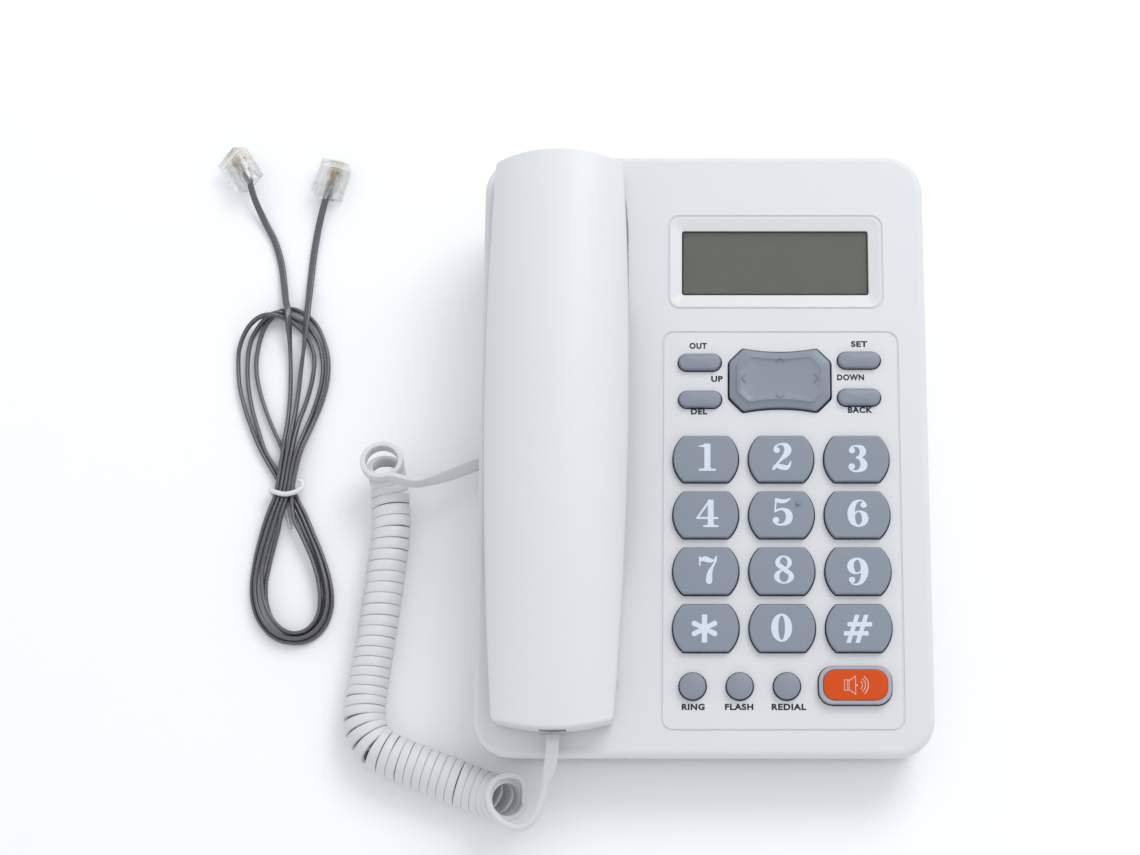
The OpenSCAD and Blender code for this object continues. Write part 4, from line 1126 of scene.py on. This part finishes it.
def line_plug(side):
    at, heading, roll = PLUGS[side]
    turn = lambda degrees, axis: Matrix.Rotation(math.radians(degrees), 4, axis)
    where = Matrix.Translation(at) @ turn(heading, "Z") @ turn(roll, "X")
    cut = lambda lo, hi: block(where, lo, hi)
    body = block(where, (0, -4.825, -3.3), (12.3, 4.825, 3.3), 0.35, "plug_body_" + side, CLEAR)
    cuts = [cut((-1, -2.5, -2.1), (7.2, 2.5, 0.3)), cut((3, -6, 1.9), (9.4, 6, 4)), cut((-1, -3.4, 2.2), (3.4, 3.4, 4))]
    cuts += [cut((8.9, PITCH * i - 0.25, -4), (13, PITCH * i + 0.25, -0.6)) for i in (-2.5, -1.5, -0.5, 0.5, 1.5, 2.5)]
    cuts += [cut((9.6, -6, 2.3), (10.2, 6, 4))]
    carve(body, cuts, smooth=30)
    rings = []
    for x, h, z0, z1 in LATCH:
        ring = (x, -h, z0), (x, h, z0), (x, h - 0.15, z1), (x, 0.15 - h, z1)
        rings.append([tuple(where @ Vector(q)) for q in ring])
    latch = loft("plug_latch_" + side, rings, CLEAR, 30)
    pins, wires = [], []
    for k, i in enumerate((-1.5, -0.5, 0.5, 1.5)):
        y, name = PITCH * i, f"plug_pin_{side}_{k}"
        pins.append(block(where, (9.0, y - 0.15, -3.0), (12.0, y + 0.15, -1.3), 0.05, name, BRASS))
    jacket = block(where, (0.2, -1.15, -1.4), (5.4, 1.15, -0.2), 0.3, "plug_jacket_" + side, GREY_CORD)
    for k, (i, finish) in enumerate(((-1.5, BLACK), (-0.5, BRASS), (0.5, BLACK), (1.5, BRASS))):
        y, name = 0.55 * i, f"plug_wire_{side}_{k}"
        wires.append(block(where, (5.2, y - 0.22, -1.1), (10.2, y + 0.22, -0.66), 0.1, name, finish))
    pieces = [body, latch, jacket] + pins + wires
    slots = ["clear_plastic"] * 2 + ["line_cord"] + ["brass"] * 4 + ["black_plastic"] * 4
    for piece, slot in zip(pieces, slots):
        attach(piece, "base")
    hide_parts("line_plug_" + side)
    return pieces


plug_pieces = line_plug("left") + line_plug("right")

# The wire tie as (x, y, height, radius)
TIE_ROUTE = [
    (-134.7, -18.4, 0.9, 0.5), (-135.8, -14.5, 0.85, 0.52), (-136.8, -11.2, 0.85, 0.55),
    (-138.6, -8.6, 0.85, 0.6), (-140.7, -7.0, 1.2, 0.75),
    (-141.3, -6.3, 2.8, 0.8), (-141.1, -6.3, 4.6, 0.82), (-139.6, -7.2, 5.5, 0.82), (-136.5, -7.9, 5.6, 0.82),
    (-133.5, -7.3, 5.5, 0.82),
    (-131.5, -6.1, 5.0, 0.82), (-130.9, -4.7, 4.3, 0.8), (-131.5, -3.2, 4.0, 0.72), (-132.7, -2.4, 4.3, 0.62),
]


def wire_tie():
    rows = spline(TIE_ROUTE, 0.25)
    ring = np.array([(math.cos(a), math.sin(a)) for a in np.linspace(0, 2 * math.pi, 14, endpoint=False)])
    grow = np.ones(len(rows))
    grow[:3], grow[-4:] = (0.4, 0.75, 0.95), (0.97, 0.88, 0.7, 0.35)
    across = np.tile([0.2, 0.1, 1.0], (len(rows), 1))
    obj = sweep("wire_tie", rows[:, :3], across, lambda i: ring * rows[i, 3] * grow[i], TIE, 60)
    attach(obj, "base")
    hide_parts("cord_tie")
    return obj


tie = wire_tie()

# ---- materials and edges of the CAD parts that stay

KEPT = {
    "base_bottom": WHITE, "feet": RUBBER, "base_screws": STEEL, "lcd_lens": LCD_GLASS, "lcd_panel": LCD_PANEL,
        "main_pcb": BOARD, "key_mat": SILICONE,
    "nav_pivot": SILICONE, "hook_plunger": HANDSET_WHITE, "hook_spring": STEEL, "hook_switch": BLACK,
        "base_speaker": BLACK, "base_mic": BLACK,
    "line_jack": BLACK, "handset_jack": BLACK, "ear_speaker": BLACK, "handset_mic": BLACK,
        "handset_socket": BLACK, "handset_weight": STEEL,
    "handset_screws": STEEL, "plug_handset": CLEAR, "plug_base": CLEAR,
}
# Bevels in millimetres
SOFTENED = {
    "base_bottom": 0.5, "feet": 0.5, "hook_plunger": 0.5,
    "plug_handset": 0.3, "plug_base": 0.3, "line_jack": 0.3, "handset_jack": 0.3,
}
for node, finish in KEPT.items():
    obj = bpy.data.objects[node]
    obj.data.materials.clear()
    obj.data.materials.append(finish)
    if node in SOFTENED:
        soft = obj.modifiers.new("softened", "BEVEL")
        soft.width, soft.segments = SOFTENED[node] * MM, 3
        soft.limit_method, soft.angle_limit = "ANGLE", math.radians(40)

# ---- floor and light

floor_mesh = bpy.data.meshes.new("floor")
floor_mesh.from_pydata([(-4, -4, 0), (4, -4, 0), (4, 4, 0), (-4, 4, 0)], [], [(0, 1, 2, 3)])
floor = bpy.data.objects.new("floor", floor_mesh)
scene.collection.objects.link(floor)
floor_mesh.materials.append(material("paper", (0.93, 0.935, 0.945), 0.7, 600, 0.03, 0.004))

world = bpy.data.worlds.new("studio")
world.use_nodes = True
sky = world.node_tree.nodes["Background"].inputs
sky[0].default_value, sky[1].default_value = (0.96, 0.98, 1.0, 1), 0.86
scene.world = world

LAMP_AT = (0.50, 0.78, 1.05)
lamp_data = bpy.data.lights.new("key", "AREA")
lamp_data.shape, lamp_data.size, lamp_data.size_y, lamp_data.energy = "RECTANGLE", 0.7, 0.7, 7.5
lamp = bpy.data.objects.new("key", lamp_data)
scene.collection.objects.link(lamp)
lamp.location = LAMP_AT
lamp.rotation_euler = (-Vector(LAMP_AT)).to_track_quat("-Z", "Y").to_euler()

# ---- cords' paths in metres

metres = lambda path: [tuple(float(c) * MM for c in p) for p in path]
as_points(metres(curly_path))
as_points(metres(line_path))
